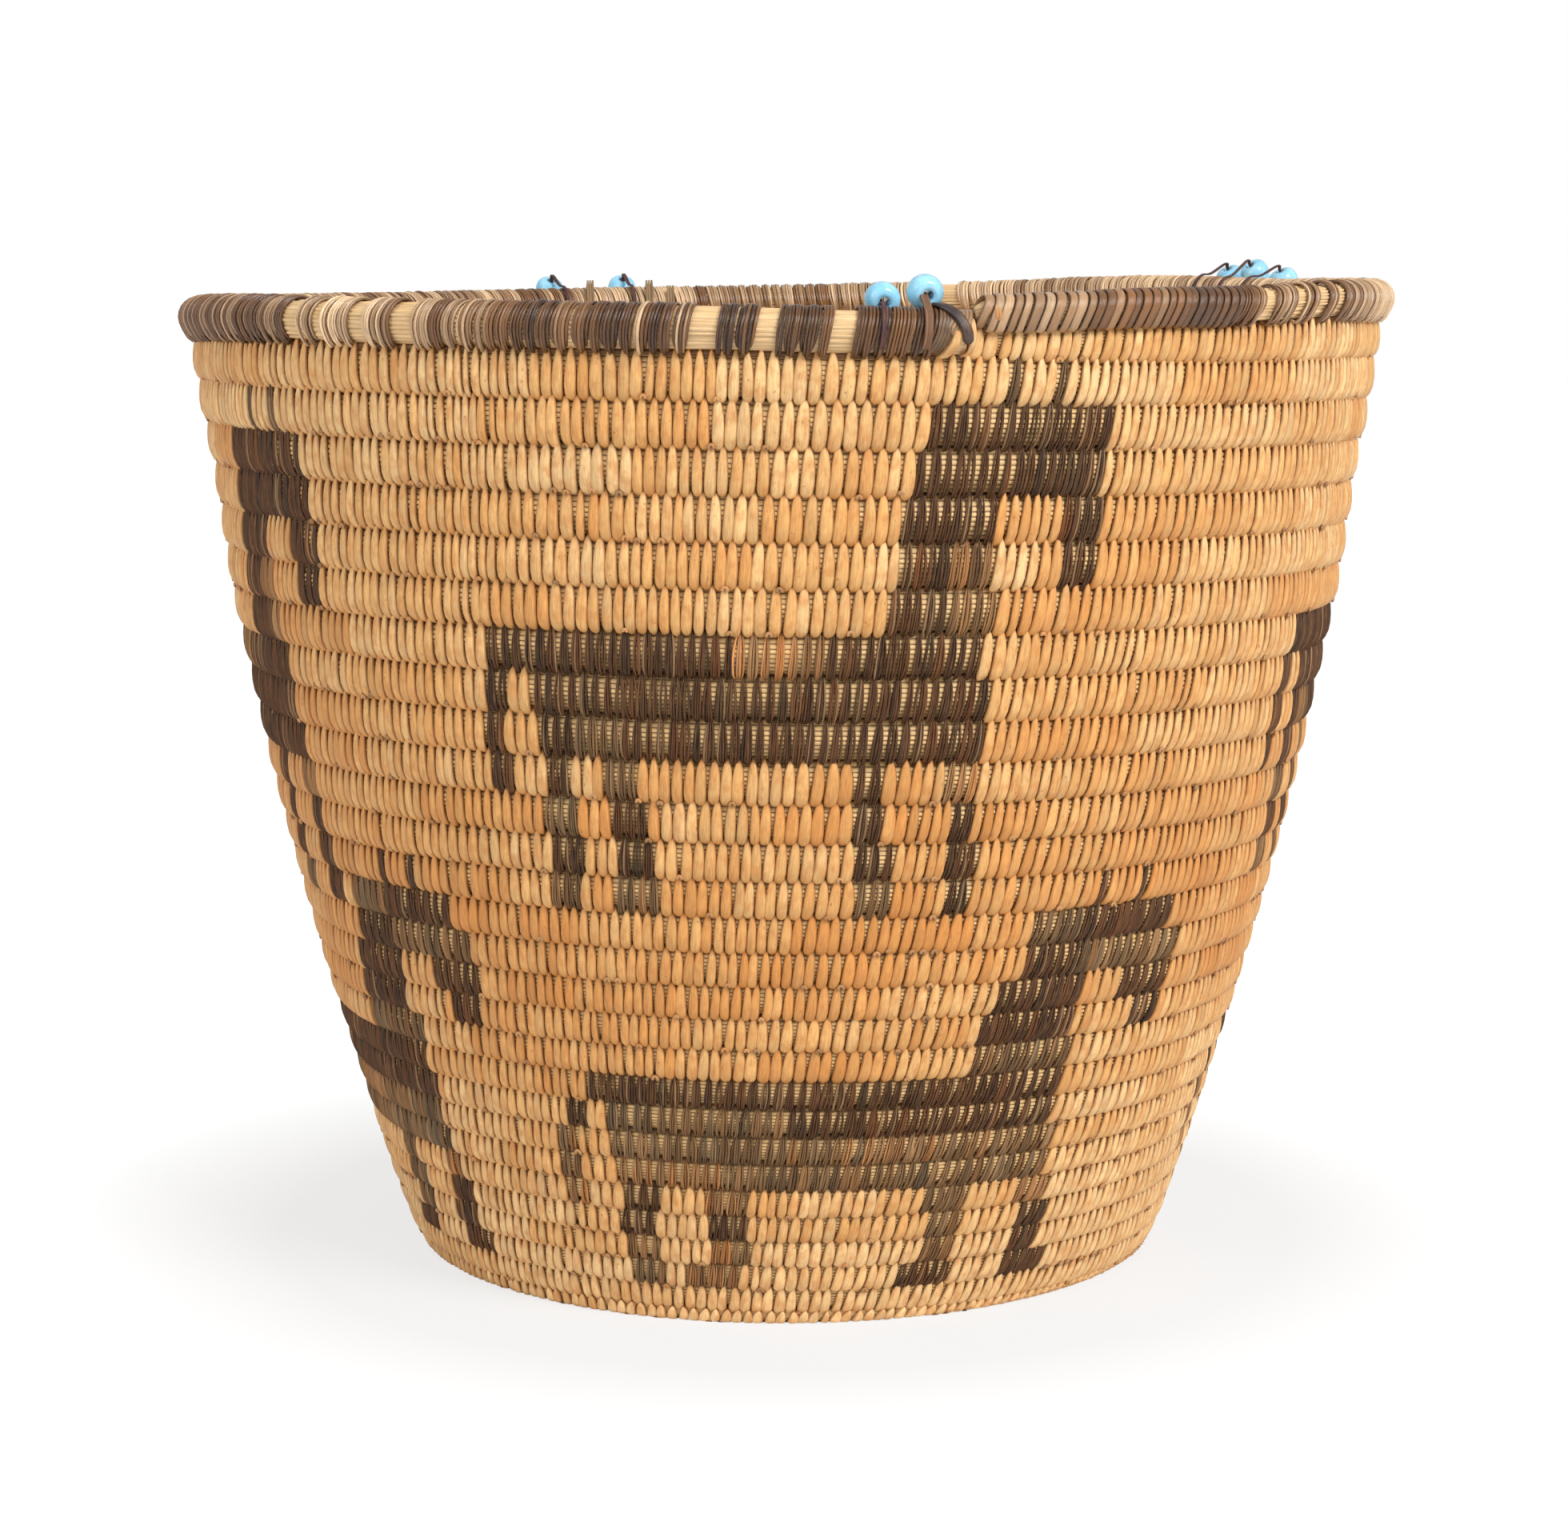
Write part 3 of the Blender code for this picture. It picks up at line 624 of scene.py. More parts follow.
def pale_splint():
    look = Look("pale_splint", 0.46)
    grain, colour, edge_shade = look.strand_values()
    streaks = look.noise(grain, (3.2, 0.35, 17.0))
    clouds = look.noise(grain, (0.45, 0.30, 5.3), 2.0)
    spots = look.noise(grain, (1.3, 0.8, 9.1), 1.0)
    colour = look.stained(colour, clouds, 0.44, 0.66, 0.58, SPLINT_CLOUD)
    colour = look.shaded(colour, streaks, 0.25, 0.75, 0.74, 1.18)
    colour = look.stained(colour, spots, 0.72, 0.78, 0.55, SPLINT_SPOT)
    # Painted shade at the stitch's sides and ends
    colour = look.stained(colour, edge_shade, 0.66, 1.0, 0.70, SPLINT_EDGE_SHADE)
    look.link(look.spread(streaks, 0.3, 0.7, 0.38, 0.56), look.shader.inputs["Roughness"])
    return look.finished(colour, streaks, 0.35, 0.2 * MM)


def dark_splint(name, roughness):
    look = Look(name, roughness)
    grain, colour, edge_shade = look.strand_values()
    streaks = look.noise(grain, (6.5, 0.25, 13.0), 4.0, 0.65)
    clouds = look.noise(grain, (0.6, 0.25, 3.7), 2.0)
    colour = look.stained(colour, clouds, 0.45, 0.75, 0.40, DARK_CLOUD)
    # Light streaks: lighter fibres, and in part a painted highlight along the splint
    colour = look.stained(colour, streaks, 0.60, 0.72, 0.45, DARK_STREAK_AND_SHEEN)
    colour = look.shaded(colour, streaks, 0.25, 0.6, 0.62, 1.1)
    # Painted shade at the strand's sides and ends
    colour = look.stained(colour, edge_shade, 0.66, 1.0, 0.7, DARK_EDGE_SHADE)
    rough = look.spread(streaks, 0.3, 0.7, roughness - 0.08, roughness + 0.12)
    look.link(rough, look.shader.inputs["Roughness"])
    look.shader.inputs["Specular IOR Level"].default_value = 1.0 - roughness
    return look.finished(colour, streaks, 0.5, 0.3 * MM)


def grass():
    look = Look("grass", 0.5)
    grain, colour, edge_shade = look.strand_values()
    fibres = look.noise(grain, (0.10, 3.0, 1.0), 4.0, 0.6)
    clouds = look.noise(grain, (0.06, 0.35, 1.0), 2.0)
    colour = look.stained(colour, clouds, 0.40, 0.70, 0.6, GRASS_CLOUD)
    colour = look.shaded(colour, fibres, 0.3, 0.7, 0.72, 1.1)
    # Painted shade in the valleys between stalks
    colour = look.stained(colour, edge_shade, 0.30, 0.9, 0.9, GRASS_VALLEY_SHADE)
    return look.finished(colour, fibres, 0.4, 0.3 * MM)


def glass():
    look = Look("blue_glass", 0.09)
    place = look.node("ShaderNodeTexCoord").outputs["Object"]
    swirl = look.noise(place, (500.0, 500.0, 160.0), 2.0)
    colour = look.mixed(look.spread(swirl, 0.3, 0.7, 0.0, 1.0), opaque(GLASS), opaque(GLASS_DEEP))
    look.shader.inputs["Coat Weight"].default_value = 0.3
    look.shader.inputs["Subsurface Weight"].default_value = 0.15
    look.shader.inputs["Subsurface Radius"].default_value = (1.0 * MM, 1.0 * MM, 1.5 * MM)
    return look.finished(colour, swirl, 0.05, 0.2 * MM)


# The coil's faces, and the stitches on them

class Course:
    """A stretch of coil, and how far out its two faces lie and swell, as shares of its pitch."""

    def __init__(self, station, faces, swells):
        self.station = station
        self.faces = dict(zip((1, -1), faces))
        self.swells = dict(zip((1, -1), swells))

    def around(self, turn):
        return 2.0 * math.pi * self.station(turn)[0]

    def points(self, turn, up_share, swell, side, lift=0.0):
        """Points on a face: up the row by a share of its pitch, and out by a share of the swell."""
        radius, height, pitch, lean = self.station(turn)
        up = up_share * pitch
        out = side * ((self.faces[side] + self.swells[side] * swell) * pitch + lift)
        reach = radius + out * np.cos(lean) + up * np.sin(lean)
        return placed(turn, reach, height - out * np.sin(lean) + up * np.cos(lean))

    def facing(self, turn, side):
        lean = self.station(turn)[3]
        return placed(turn, np.cos(lean), -np.sin(lean)) * side


WALL = Course(wall_station, (THICKNESS_SHARE / 2.0 - BULGE_SHARE, 0.40), (0.15, 0.07))
BASE = Course(base_station, (0.335, 0.355), (0.04, 0.04))


def lean_at(turn):
    degrees = degrees_at(turn)
    share = np.clip(turn / WALL_TURNS, 0.0, 1.0)
    foot, top = np.interp(degrees, LEAN_DEGREES, LEAN_FOOT), np.interp(degrees, LEAN_DEGREES, LEAN_TOP)
    return foot + (top - foot) * share


def stitch_turns(course, first, last):
    """Each stitch goes between two of the row below, with one more put in where they spread."""
    count = max(round(float(course.around(np.array(first + 0.5))) / SPACING_FOOT), LEAST_IN_TURN)
    turns = [first + (index + 0.5) / count for index in range(count)]
    spare = 0.0
    index = 0
    while turns[-1] < last:
        here, after = turns[index], turns[index + 1]
        around = float(course.around(np.array(here + 1.0)))
        spacing = float(np.interp(here, [0.0, WALL_TURNS], [SPACING_FOOT, SPACING_TOP]))
        spare += (after - here) * around / spacing - 1.0
        number = 1 + max(math.floor(spare), 0)
        spare -= number - 1
        moved = 1.0 - float(lean_at(here)) / around
        turns += [here + (after - here) * (place + 0.5) / number + moved for place in range(number)]
        index += 1
    evened = np.convolve(turns, np.ones(EVENED_STITCHES) / EVENED_STITCHES, "same")
    kept = EVENED_STITCHES // 2
    evened[:kept], evened[-kept:] = turns[:kept], turns[-kept:]
    return evened[evened < last]


def shades_of(turns):
    """The animals' shade at each stitch, or none."""
    shades = np.zeros(len(turns), int)
    for chart, places in ((UPPER_CHART, UPPER_PLACES), (LOWER_CHART, LOWER_PLACES)):
        for place, wide in places:
            for row, spans in chart.items():
                for first, last, shade in spans:
                    starts = WALL_TURNS - row + (STEP_DEGREES - last * wide - place) / 360.0
                    ends = WALL_TURNS - row + (STEP_DEGREES - first * wide - place) / 360.0
                    shades[(turns >= starts) & (turns <= ends)] = shade
    return shades


def run_values(count, rng, shortest, longest):
    """One random value for each length of splint, shared by the stitches sewn with it."""
    lengths = rng.integers(shortest, longest, count)
    return np.repeat(rng.random(count), lengths)[:count]


def blended(colours, share):
    """Colours along a list of screen colours, for shares from 0 to 1."""
    stops = np.linspace(0.0, 1.0, len(colours))
    channels = linear(colours)
    return np.stack([np.interp(share, stops, channels[:, index]) for index in range(3)], -1)


def pale_tints(turns, rng):
    lengths = run_values(len(turns), rng, *STITCHES_OF_A_LENGTH)
    tone = np.interp(turns, *zip(*TONES)) + LENGTH_TONE * (lengths - 0.5)
    # Painted light: paler towards the lower right
    right = np.clip((degrees_at(turns) - PAINTED_LIGHT_DEGREES) / PAINTED_LIGHT_FADE_DEGREES, 0.0, 1.0)
    low = np.clip((PAINTED_LIGHT_TURN - turns) / PAINTED_LIGHT_FADE_TURNS, 0.0, 1.0)
    tone = tone - PAINTED_LIGHT_TONE * right * low + rng.normal(0.0, STITCH_TONE, len(turns))
    light = rng.normal(1.0, STITCH_TINT, (len(turns), 1))
    return blended([CREAM, TAN, ORANGE], np.clip(tone, 0.0, 1.0)) * light


def stitch_paths(course, turns, shape, side, rng, aside=0.0):
    """Paths of stitches over one face of the coil, from foot to tip."""
    column = (len(turns), 1)
    around = course.around(turns)[:, None]
    progress = (shape[:, 0] - shape[0, 0]) / (shape[-1, 0] - shape[0, 0])
    lean = (lean_at(turns) + rng.normal(0.0, LEAN_SPREAD, len(turns)))[:, None]
    bow = rng.normal(BOW, BOW_SPREAD, column)
    slide = lean * (progress - 0.5) + bow * np.sin(math.pi * progress)
    along = turns[:, None] - (slide + aside) / around
    reach = rng.normal(1.0, REACH_SPREAD, column)
    lift = rng.normal(0.0, LIFT_SPREAD, column)
    centre = course.points(along, shape[:, 0] * reach, shape[:, 1], side, lift)
    centre[..., 2] = np.maximum(centre[..., 2], LOWEST_STITCH)
    return centre, course.facing(along, side)


def stitch_group(course, turns, widths, tints, side, rng, section, aside=0.0, crown=CROWN):
    shape = OUTER_STITCH if side > 0 else INNER_STITCH
    centre, normal = stitch_paths(course, turns, shape, side, rng, aside)
    width = widths[:, None] * shape[:, 2]
    height = crown * shape[:, 3] * np.ones_like(width)
    return strand_group(centre, normal, width, height, section, tints, rng, ends=0.9)


def strand_stitches(course, turns, shades, side, rng, section):
    """Dark stitches: thin strands side by side, drawn together at both ends of the stitch."""
    groups = []
    column = (len(turns), 1)
    shape = OUTER_STITCH if side > 0 else INNER_STITCH
    base = np.array([linear(SHADES[shade]) for shade in shades])
    light = rng.normal(1.0, 0.20, column)
    warmth = 1.0 + rng.normal(0.0, 0.10, column) * [1.0, 0.2, -0.8]
    full = rng.uniform(0.74, 1.02, column)
    gathered = GATHERED_SHARE + (1.0 - GATHERED_SHARE) * shape[:, 2] ** GATHERED_POWER
    for place in STRAND_PLACES:
        aside = STRAND_SPREAD * place * full * gathered + rng.normal(0.0, STRAND_WANDER, column)
        worn = rng.random(column) < LIGHT_STRANDS
        tints = base * (light * warmth) * rng.normal(1.0, 0.22, column)
        tints = np.where(worn, (tints + linear(LIGHT_STRAND)) / 2.0, tints)
        widths = STRAND_WIDTH * full[:, 0] * rng.uniform(0.85, 1.2, len(turns))
        groups.append(stitch_group(course, turns, widths, tints, side, rng, section, aside, STRAND_CROWN))
    return groups


def knots(turns, rng):
    """Small curled ends of splint between the feet of a row."""
    column = (len(turns), 1)
    angles = np.linspace(-0.6, math.pi + 0.6, 8)
    size = rng.uniform(*KNOT_SIZES, column) * MM
    along = turns[:, None] + np.cos(angles) * size / WALL.around(turns)[:, None]
    up = -0.50 + np.sin(angles) * size / wall_station(along)[2] + rng.normal(0.0, 0.03, column)
    width = np.full(along.shape, KNOT_WIDTH)
    tint = linear(KNOT) * rng.uniform(0.6, 1.2, column)
    centre = WALL.points(along, up, np.full(along.shape, KNOT_SWELL), 1, KNOT_LIFT)
    return strand_group(centre, WALL.facing(along, 1), width, width * 0.9, crowned(5, 0.8), tint, rng)


# The grass bundle under the stitches: where a stalk's four lines lie and how deep, how far it lies
# under the face, how deep its valleys are, how it wanders and how low it may lie

STALK_PLACES = [0.0, 0.22, 0.5, 0.78]
# A line's depth also sets how much painted shade it gets
STALK_DEPTHS = [1.0, 0.28, 0.0, 0.28]
STALK_INSET, STALK_VALLEY, STALK_WANDER, LOWEST_STALK = 0.22 * MM, 0.30 * MM, 0.08 * MM, 0.1 * MM
BUNDLE_SHARE = 0.96
BUNDLE_ROUNDING, BUNDLE_POWER = 1.9, 2.4
WANDER_STEPS = 10

# The rim's bundle, and the grass pressed into the seams under it and at the heel
RIM_STALKS, RIM_STEPS, RIM_SHADOW = 26, 620, 0.45
RIM_INSET, RIM_VALLEY, RIM_WANDER, RIM_DRIFT = 0.78 * MM, 0.34 * MM, 0.14 * MM, 0.20
RIM_UNDERCUT = 0.9 * MM
SEAM_SHARE, SEAM_CROWN, SEAM_SHADE = 0.36, 0.13, 0.7
LEAST_SEAM = 2.9 * MM


def ridged_piece(name, points, lines, shades, material, straw=STRAW, shadow=1.0):
    """A bundle of stalks from its lines of points, four to a stalk, the first in the valley beside it."""
    grain, edge_shade, tint = [], [], []
    for number, shade in enumerate(shades):
        grain.append(np.stack([lines, np.full(len(lines), number * 0.25), lines * 0.0], -1))
        # Painted shade, deepest in the valleys between stalks and lessened by the shadow share
        edge_shade.append(np.full(len(lines), STALK_DEPTHS[number % 4] * shadow))
        tint.append(np.tile(np.append(linear(straw) * shade, 1.0), (len(lines), 1)))
    values = {"points": points, "grain": grain, "edge_shade": edge_shade, "tint": tint}
    group = {key: np.stack(value, 1)[None] for key, value in values.items()}
    return strand_piece(name, [{**group, "ring": False}], material)


def wandering(count, rng, spread):
    """A slow wander along a line."""
    places = np.arange(0, count + WANDER_STEPS, WANDER_STEPS)
    return np.interp(np.arange(count), places, rng.normal(0.0, spread, len(places)))


def bundle(name, course, first, last, steps, ridges, material, seed):
    turns = np.linspace(first, last, int((last - first) * steps))
    rng = np.random.default_rng(SEED + seed)
    points, shades = [], []
    for side, count in zip((1, -1), ridges):
        for stalk in range(count):
            wander, shade = wandering(len(turns), rng, STALK_WANDER), rng.uniform(0.78, 1.1)
            for part, depth in zip(STALK_PLACES, STALK_DEPTHS):
                place = ((stalk + part) / count - 0.5) * BUNDLE_SHARE * side
                swell = 1.0 - abs(2.0 * place) ** BUNDLE_POWER * BUNDLE_ROUNDING
                lift = wander * (1.0 - depth) - STALK_INSET - depth * STALK_VALLEY
                line = course.points(turns, np.full(len(turns), place), swell, side, lift)
                line[:, 2] = np.maximum(line[:, 2], LOWEST_STALK)
                points.append(line)
                shades.append(shade)
    return ridged_piece(name, points, turns * course.around(turns) / MM, shades, material)


def rim_bundle(material):
    turns = np.linspace(WALL_TURNS + 0.001, WALL_TURNS + 0.999, RIM_STEPS)
    rng = np.random.default_rng(SEED + 2)
    radius, middle, thick, tall = rim_station(turns)
    points, shades = [], []
    for stalk in range(RIM_STALKS):
        wander, drift = wandering(RIM_STEPS, rng, RIM_WANDER), wandering(RIM_STEPS, rng, RIM_DRIFT)
        shade = rng.uniform(0.80, 1.02)
        for part, depth in zip(STALK_PLACES, STALK_DEPTHS):
            angle = -2.0 * math.pi * (stalk + part + drift * (1.0 - depth)) / RIM_STALKS
            inset = RIM_INSET + depth * RIM_VALLEY - wander * (1.0 - depth)
            low = np.clip(-2.0 * np.sin(angle) - 1.0, 0.0, 1.0) * RIM_UNDERCUT
            across, over = (thick / 2.0 - inset) * np.cos(angle), (tall / 2.0 - inset) * np.sin(angle)
            points.append(placed(turns, radius + across, middle + over - low))
            shades.append(shade)
    run = turns * 2.0 * math.pi * radius / MM
    return ridged_piece("rim_grass", points, run, shades, material, RIM_STRAW_AND_HIGHLIGHT, RIM_SHADOW)


def build_seam(name, first, last, up_share, node, material):
    """Grass pressed in where the coil meets the rim or the base."""
    turns = np.linspace(first, last, int((last - first) * 360.0))[None]
    radius, height, pitch, lean = wall_station(turns)
    up = up_share * pitch
    width = np.maximum(pitch * SEAM_SHARE, LEAST_SEAM)
    reach = radius + up * np.sin(lean) + pitch * SEAM_SHARE - width
    centre = placed(turns, reach, height + up * np.cos(lean))
    normal = placed(turns, np.sin(lean), np.cos(lean)) * math.copysign(1.0, up_share)
    tint = linear(STRAW)[None] * SEAM_SHADE
    group = strand_group(centre, normal, width, pitch * SEAM_CROWN, crowned(7, 0.8), tint)
    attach(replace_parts(strand_piece(name, [group], material), node), "basket")


# The rim's wrapping: splint in wide bands or split into bundles of fibres, their colours, and how a
# bundle is pinched together under the rim

BAND_WIDTHS, FIBRE_WIDTHS = (1.7 * MM, 2.4 * MM), (0.60 * MM, 0.85 * MM)
FIBRES = (3, 6)
FIBRE_GAPS = (0.10 * MM, 0.40 * MM)
FIBRE_OVERLAP = 0.52
BUNDLE_TONE, BAND_TONE, FIBRE_TONE, FIBRE_TINT = 0.13, 0.05, 0.07, 0.12
LIGHT_FIBRES, LIGHT_TONE = 0.10, 0.45
FIBRE_POINTS, FIBRE_CROWN, FIBRE_TILT, FIBRE_LEAN = 24, 0.36 * MM, 0.12 * MM, 0.6 * MM
FIBRE_INSET, FIBRE_WAVER, BUNDLE_ARCH, BUNDLE_HALF = 0.10 * MM, 0.07 * MM, 0.26 * MM, 1.3 * MM
PINCH_SHARE, PINCH_ANGLE = 0.75, 0.35
DIP_ANGLE, DIP_SPAN, DIP_IN, DIP_DOWN = 0.95, 0.42, 0.5 * MM, 1.5 * MM


def turn_at(degrees):
    return WALL_TURNS + (STEP_DEGREES - degrees) / 360.0


def wrap_spans():
    starts = [turn_at(FIRST_WRAP_DEGREES)]
    ends = []
    for before, after in BARE_DEGREES:
        ends.append(turn_at(before))
        starts.append(turn_at(after))
    return list(zip(starts, ends + [WALL_TURNS + 0.999]))


def rim_fibres(first, last, around, rng):
    """Fibres round the rim: their own turn, their bundle's, colour and width."""
    fibres, bundles, tints, widths = [], [], [], []
    turn = first + 0.2 * MM / around
    while turn < last - 1.0 * MM / around:
        degrees = STEP_DEGREES - 360.0 * (turn - WALL_TURNS)
        band = degrees < BAND_DEGREES
        wide = rng.uniform(*(BAND_WIDTHS if band else FIBRE_WIDTHS))
        number = 1 if band else max(min(int(rng.integers(*FIBRES)), int((last - turn) * around / wide)), 1)
        tone = float(np.interp(degrees, RIM_TONE_DEGREES, RIM_TONES))
        tone += rng.normal(0.0, BAND_TONE if band else BUNDLE_TONE)
        for index in range(number):
            own = tone + rng.normal(0.0, FIBRE_TONE)
            if rng.random() < LIGHT_FIBRES and not band:
                own += LIGHT_TONE
            fibres.append(turn + (index + 0.5) * wide / around)
            bundles.append(turn + number * wide / 2.0 / around)
            tints.append(blended(RIM_SHADES, min(max(own, 0.0), 1.0)) * rng.normal(1.0, FIBRE_TINT))
            widths.append(wide * FIBRE_OVERLAP)
        turn += (number * wide + rng.uniform(*FIBRE_GAPS)) / around
    return np.array(fibres), np.array(bundles), np.array(tints), np.array(widths)


def rim_wrap(number, first, last, rng, material):
    around = 2.0 * math.pi * TOP_RADIUS
    fibres, bundles, tints, widths = rim_fibres(first, last, around, rng)
    column = (len(fibres), 1)
    angles = np.linspace(-0.5 * math.pi, 1.5 * math.pi, FIBRE_POINTS, endpoint=False)
    pinch = PINCH_SHARE * np.clip(-np.sin(angles + PINCH_ANGLE), 0.0, 1.0) ** 2
    lean = lean_at(fibres)[:, None] * 0.5 + FIBRE_LEAN
    tilt = lean * np.sin(angles) + rng.normal(0.0, FIBRE_TILT, column) * np.cos(angles)
    turns = fibres[:, None] * (1.0 - pinch) + bundles[:, None] * pinch - tilt / around
    turns = np.clip(turns, WALL_TURNS + 0.0005, WALL_TURNS + 0.9995)
    radius, middle, thick, tall = rim_station(turns)
    beside = ((fibres - bundles) * around / BUNDLE_HALF)[:, None]
    inset = FIBRE_INSET + BUNDLE_ARCH * beside ** 2 + rng.normal(0.0, FIBRE_WAVER, column)
    dip = np.exp(-(((angles + DIP_ANGLE) / DIP_SPAN) ** 2)) * np.clip(1.2 - beside ** 2, 0.2, 1.2)
    across = (thick / 2.0 - inset) * np.cos(angles) - dip * DIP_IN
    over = (tall / 2.0 - inset) * np.sin(angles) - dip * DIP_DOWN
    centre = placed(turns, radius + across, middle + over)
    normal = placed(turns, np.cos(angles), np.sin(angles))
    width = widths[:, None] * np.ones(len(angles))
    height = np.full(width.shape, FIBRE_CROWN)
    group = strand_group(centre, normal, width, height, crowned(6, 0.8), tints, rng, ring=True)
    return strand_piece(f"rim_splint_{number:02d}", [group], material)


# Beads, their thongs and the loose ends

def rim_place(degrees, flat):
    """Points across and up from the rim's centre at an angle, put in their place."""
    turn = np.array(turn_at(degrees))
    radius, middle, thick, tall = rim_station(turn)
    return placed(turn, radius + flat[..., 0], middle + flat[..., 1])


def direction(degrees):
    return np.array([math.cos(math.radians(degrees)), math.sin(math.radians(degrees))])


def rim_point(degrees, lift):
    return np.array([RIM_THICKNESS / 2.0 + lift, RIM_HEIGHT / 2.0 + lift]) * direction(degrees)


def bead_profile(count):
    angles = np.linspace(0.5, -0.5, count) * math.pi
    bulge = np.maximum(np.cos(angles), 0.0) ** BEAD_ROUNDNESS
    return BORE_RADIUS + (BEAD_RADIUS - BORE_RADIUS) * bulge, BEAD_HALF_LENGTH * np.sin(angles)


def bead_centre(seat_degrees, bore_degrees):
    seat, bore = direction(seat_degrees), direction(bore_degrees)
    rim_reach = np.linalg.norm(rim_point(seat_degrees, 0.0))
    along = abs(float(seat @ bore))
    radius, length = bead_profile(9)
    bead_reach = np.max(radius * math.sqrt(max(1.0 - along ** 2, 0.0)) + np.abs(length) * along)
    return seat * (rim_reach + bead_reach + SEAT_GAP)


def build_bead(number, degrees, seat_degrees, bore_degrees, material):
    radius, length = bead_profile(GLASS_ROWS)
    radius = np.append(radius, [BORE_RADIUS * BORE_SHARE] * 2)
    length = np.append(length, [-BEAD_HALF_LENGTH * MOUTH_SHARE, BEAD_HALF_LENGTH * MOUTH_SHARE])
    bore = direction(bore_degrees)
    outward = outward_at(np.array(turn_at(degrees)))
    axis = outward * bore[0] + UP * bore[1]
    side = np.cross(outward, UP)
    middle = rim_place(degrees, bead_centre(seat_degrees, bore_degrees))
    angles = np.linspace(0.0, 2.0 * math.pi, GLASS_SIDES, endpoint=False)[:, None, None]
    ring = np.cos(angles) * side + np.sin(angles) * np.cross(axis, side)
    points = middle + ring * radius[:, None] + axis * length[:, None]
    rows = [(row, (row + 1) % len(radius)) for row in range(len(radius))]
    rings = [(turn * len(radius), (turn + 1) % GLASS_SIDES * len(radius)) for turn in range(GLASS_SIDES)]
    faces = [(a + c, b + c, b + d, a + d) for a, b in rings for c, d in rows]
    mesh = bpy.data.meshes.new(f"glass_{number}")
    mesh.from_pydata(points.reshape(-1, 3).tolist(), [], faces)
    mesh.polygons.foreach_set("use_smooth", np.ones(len(faces), bool))
    mesh.materials.append(material)
    piece = linked(f"glass_{number}", mesh)
    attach(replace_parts(piece, f"bead_{number}"), f"bead_{number}")


def smooth_route(route, steps):
    """A smooth curve through the route's own points."""
    route = np.array(route)
    padded = np.concatenate([[route[0] * 2.0 - route[1]], route, [route[-1] * 2.0 - route[-2]]])
    s = np.linspace(0.0, 1.0, steps, endpoint=False)[:, None]
    points = []
    for a, b, c, d in zip(padded, padded[1:], padded[2:], padded[3:]):
        bend = (a * 2.0 - b * 5.0 + c * 4.0 - d) * s ** 2 + (b * 3.0 - a - c * 3.0 + d) * s ** 3
        points.append((b * 2.0 + (c - a) * s + bend) * 0.5)
    return np.concatenate([*points, route[-1:]])


def thong_route(seat_degrees, bore_degrees):
    """The thong's way from outside the rim, through the bead, to inside the rim."""
    centre, bore = bead_centre(seat_degrees, bore_degrees), direction(bore_degrees)
    mouth, lead = BEAD_HALF_LENGTH, BEAD_HALF_LENGTH + THONG_LEAD
    outside = np.arange(THONG_OUTER_DEGREES, seat_degrees - THONG_REACH_DEGREES, THONG_STRIDE_DEGREES)
    inside = np.arange(seat_degrees + THONG_REACH_DEGREES, THONG_INNER_DEGREES, THONG_STRIDE_DEGREES)
    route = [rim_point(angle, THONG_RADIUS + SEAT_GAP) for angle in outside]
    route += [centre + bore * along for along in (lead, mouth, -mouth, -lead)]
    if seat_degrees > 90.0:
        route.append(route[-1] + np.array([bore[1], -bore[0]]) * BEAD_RADIUS)
    route += [rim_point(angle, THONG_RADIUS + SEAT_GAP) for angle in (*inside, THONG_INNER_DEGREES)]
    return smooth_route(route, 6)


def narrowed(shape, width, share):
    """Widths along strands, narrower at both ends."""
    widths = np.full(shape[:2], width)
    widths[:, [0, -1]] *= share
    return widths


def flat_strands(name, degrees, flat, sideways, width, shade, rng, material, drift=0.0):
    """Strands side by side along a route across the rim, drifting aside towards its outer end."""
    centre = rim_place(degrees, flat)
    side = np.cross(outward_at(np.array(turn_at(degrees))), UP)
    centre = centre + side * (np.linspace(1.0, 0.0, len(flat)) ** 1.5 * drift)[:, None]
    centre = np.stack([centre + side * place for place in sideways])
    centre += side * np.sin(np.linspace(0.0, 5.0, len(flat)))[:, None] * WAVER
    tangent = unit(np.gradient(centre, axis=1))
    normal = np.cross(tangent, np.broadcast_to(side, tangent.shape))
    widths = narrowed(centre.shape, width, 0.6)
    tint = linear(shade) * rng.uniform(0.75, 1.3, (len(sideways), 1))
    group = strand_group(centre, normal, widths, widths, crowned(6, 0.8), tint, rng)
    return strand_piece(name, [group], material)


def build_thongs(material):
    rng = np.random.default_rng(SEED + 5)
    for number, (degrees, seat_degrees, bore_degrees) in enumerate(BEAD_DEGREES, start=1):
        wide = number == WIDE_THONG
        piece = flat_strands(
            f"thong_{number}", degrees, thong_route(seat_degrees, bore_degrees), THONG_STRANDS[wide],
            THONG_WIDTHS[wide], THONG_SHADES[wide], rng, material, THONG_DRIFT * (seat_degrees > 90.0),
        )
        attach(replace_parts(piece, f"bead_thong_{number}"), "basket")


def build_ends(material):
    rng = np.random.default_rng(SEED + 6)
    across = -(RIM_THICKNESS / 2.0 + SEAT_GAP + END_GAP)
    for number, (degrees, rise) in enumerate(END_PLACES, start=1):
        heights = np.linspace(-END_DEPTH, RIM_HEIGHT / 2.0 + rise, END_STEPS)
        flat = np.stack([across + rng.normal(0.0, END_WANDER, END_STEPS), heights], -1)
        name = f"loose_end_{number}"
        piece = flat_strands(name, degrees, flat, END_STRANDS, END_WIDTH, END_SHADE, rng, material)
        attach(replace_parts(piece, f"splint_end_{number}"), "basket")


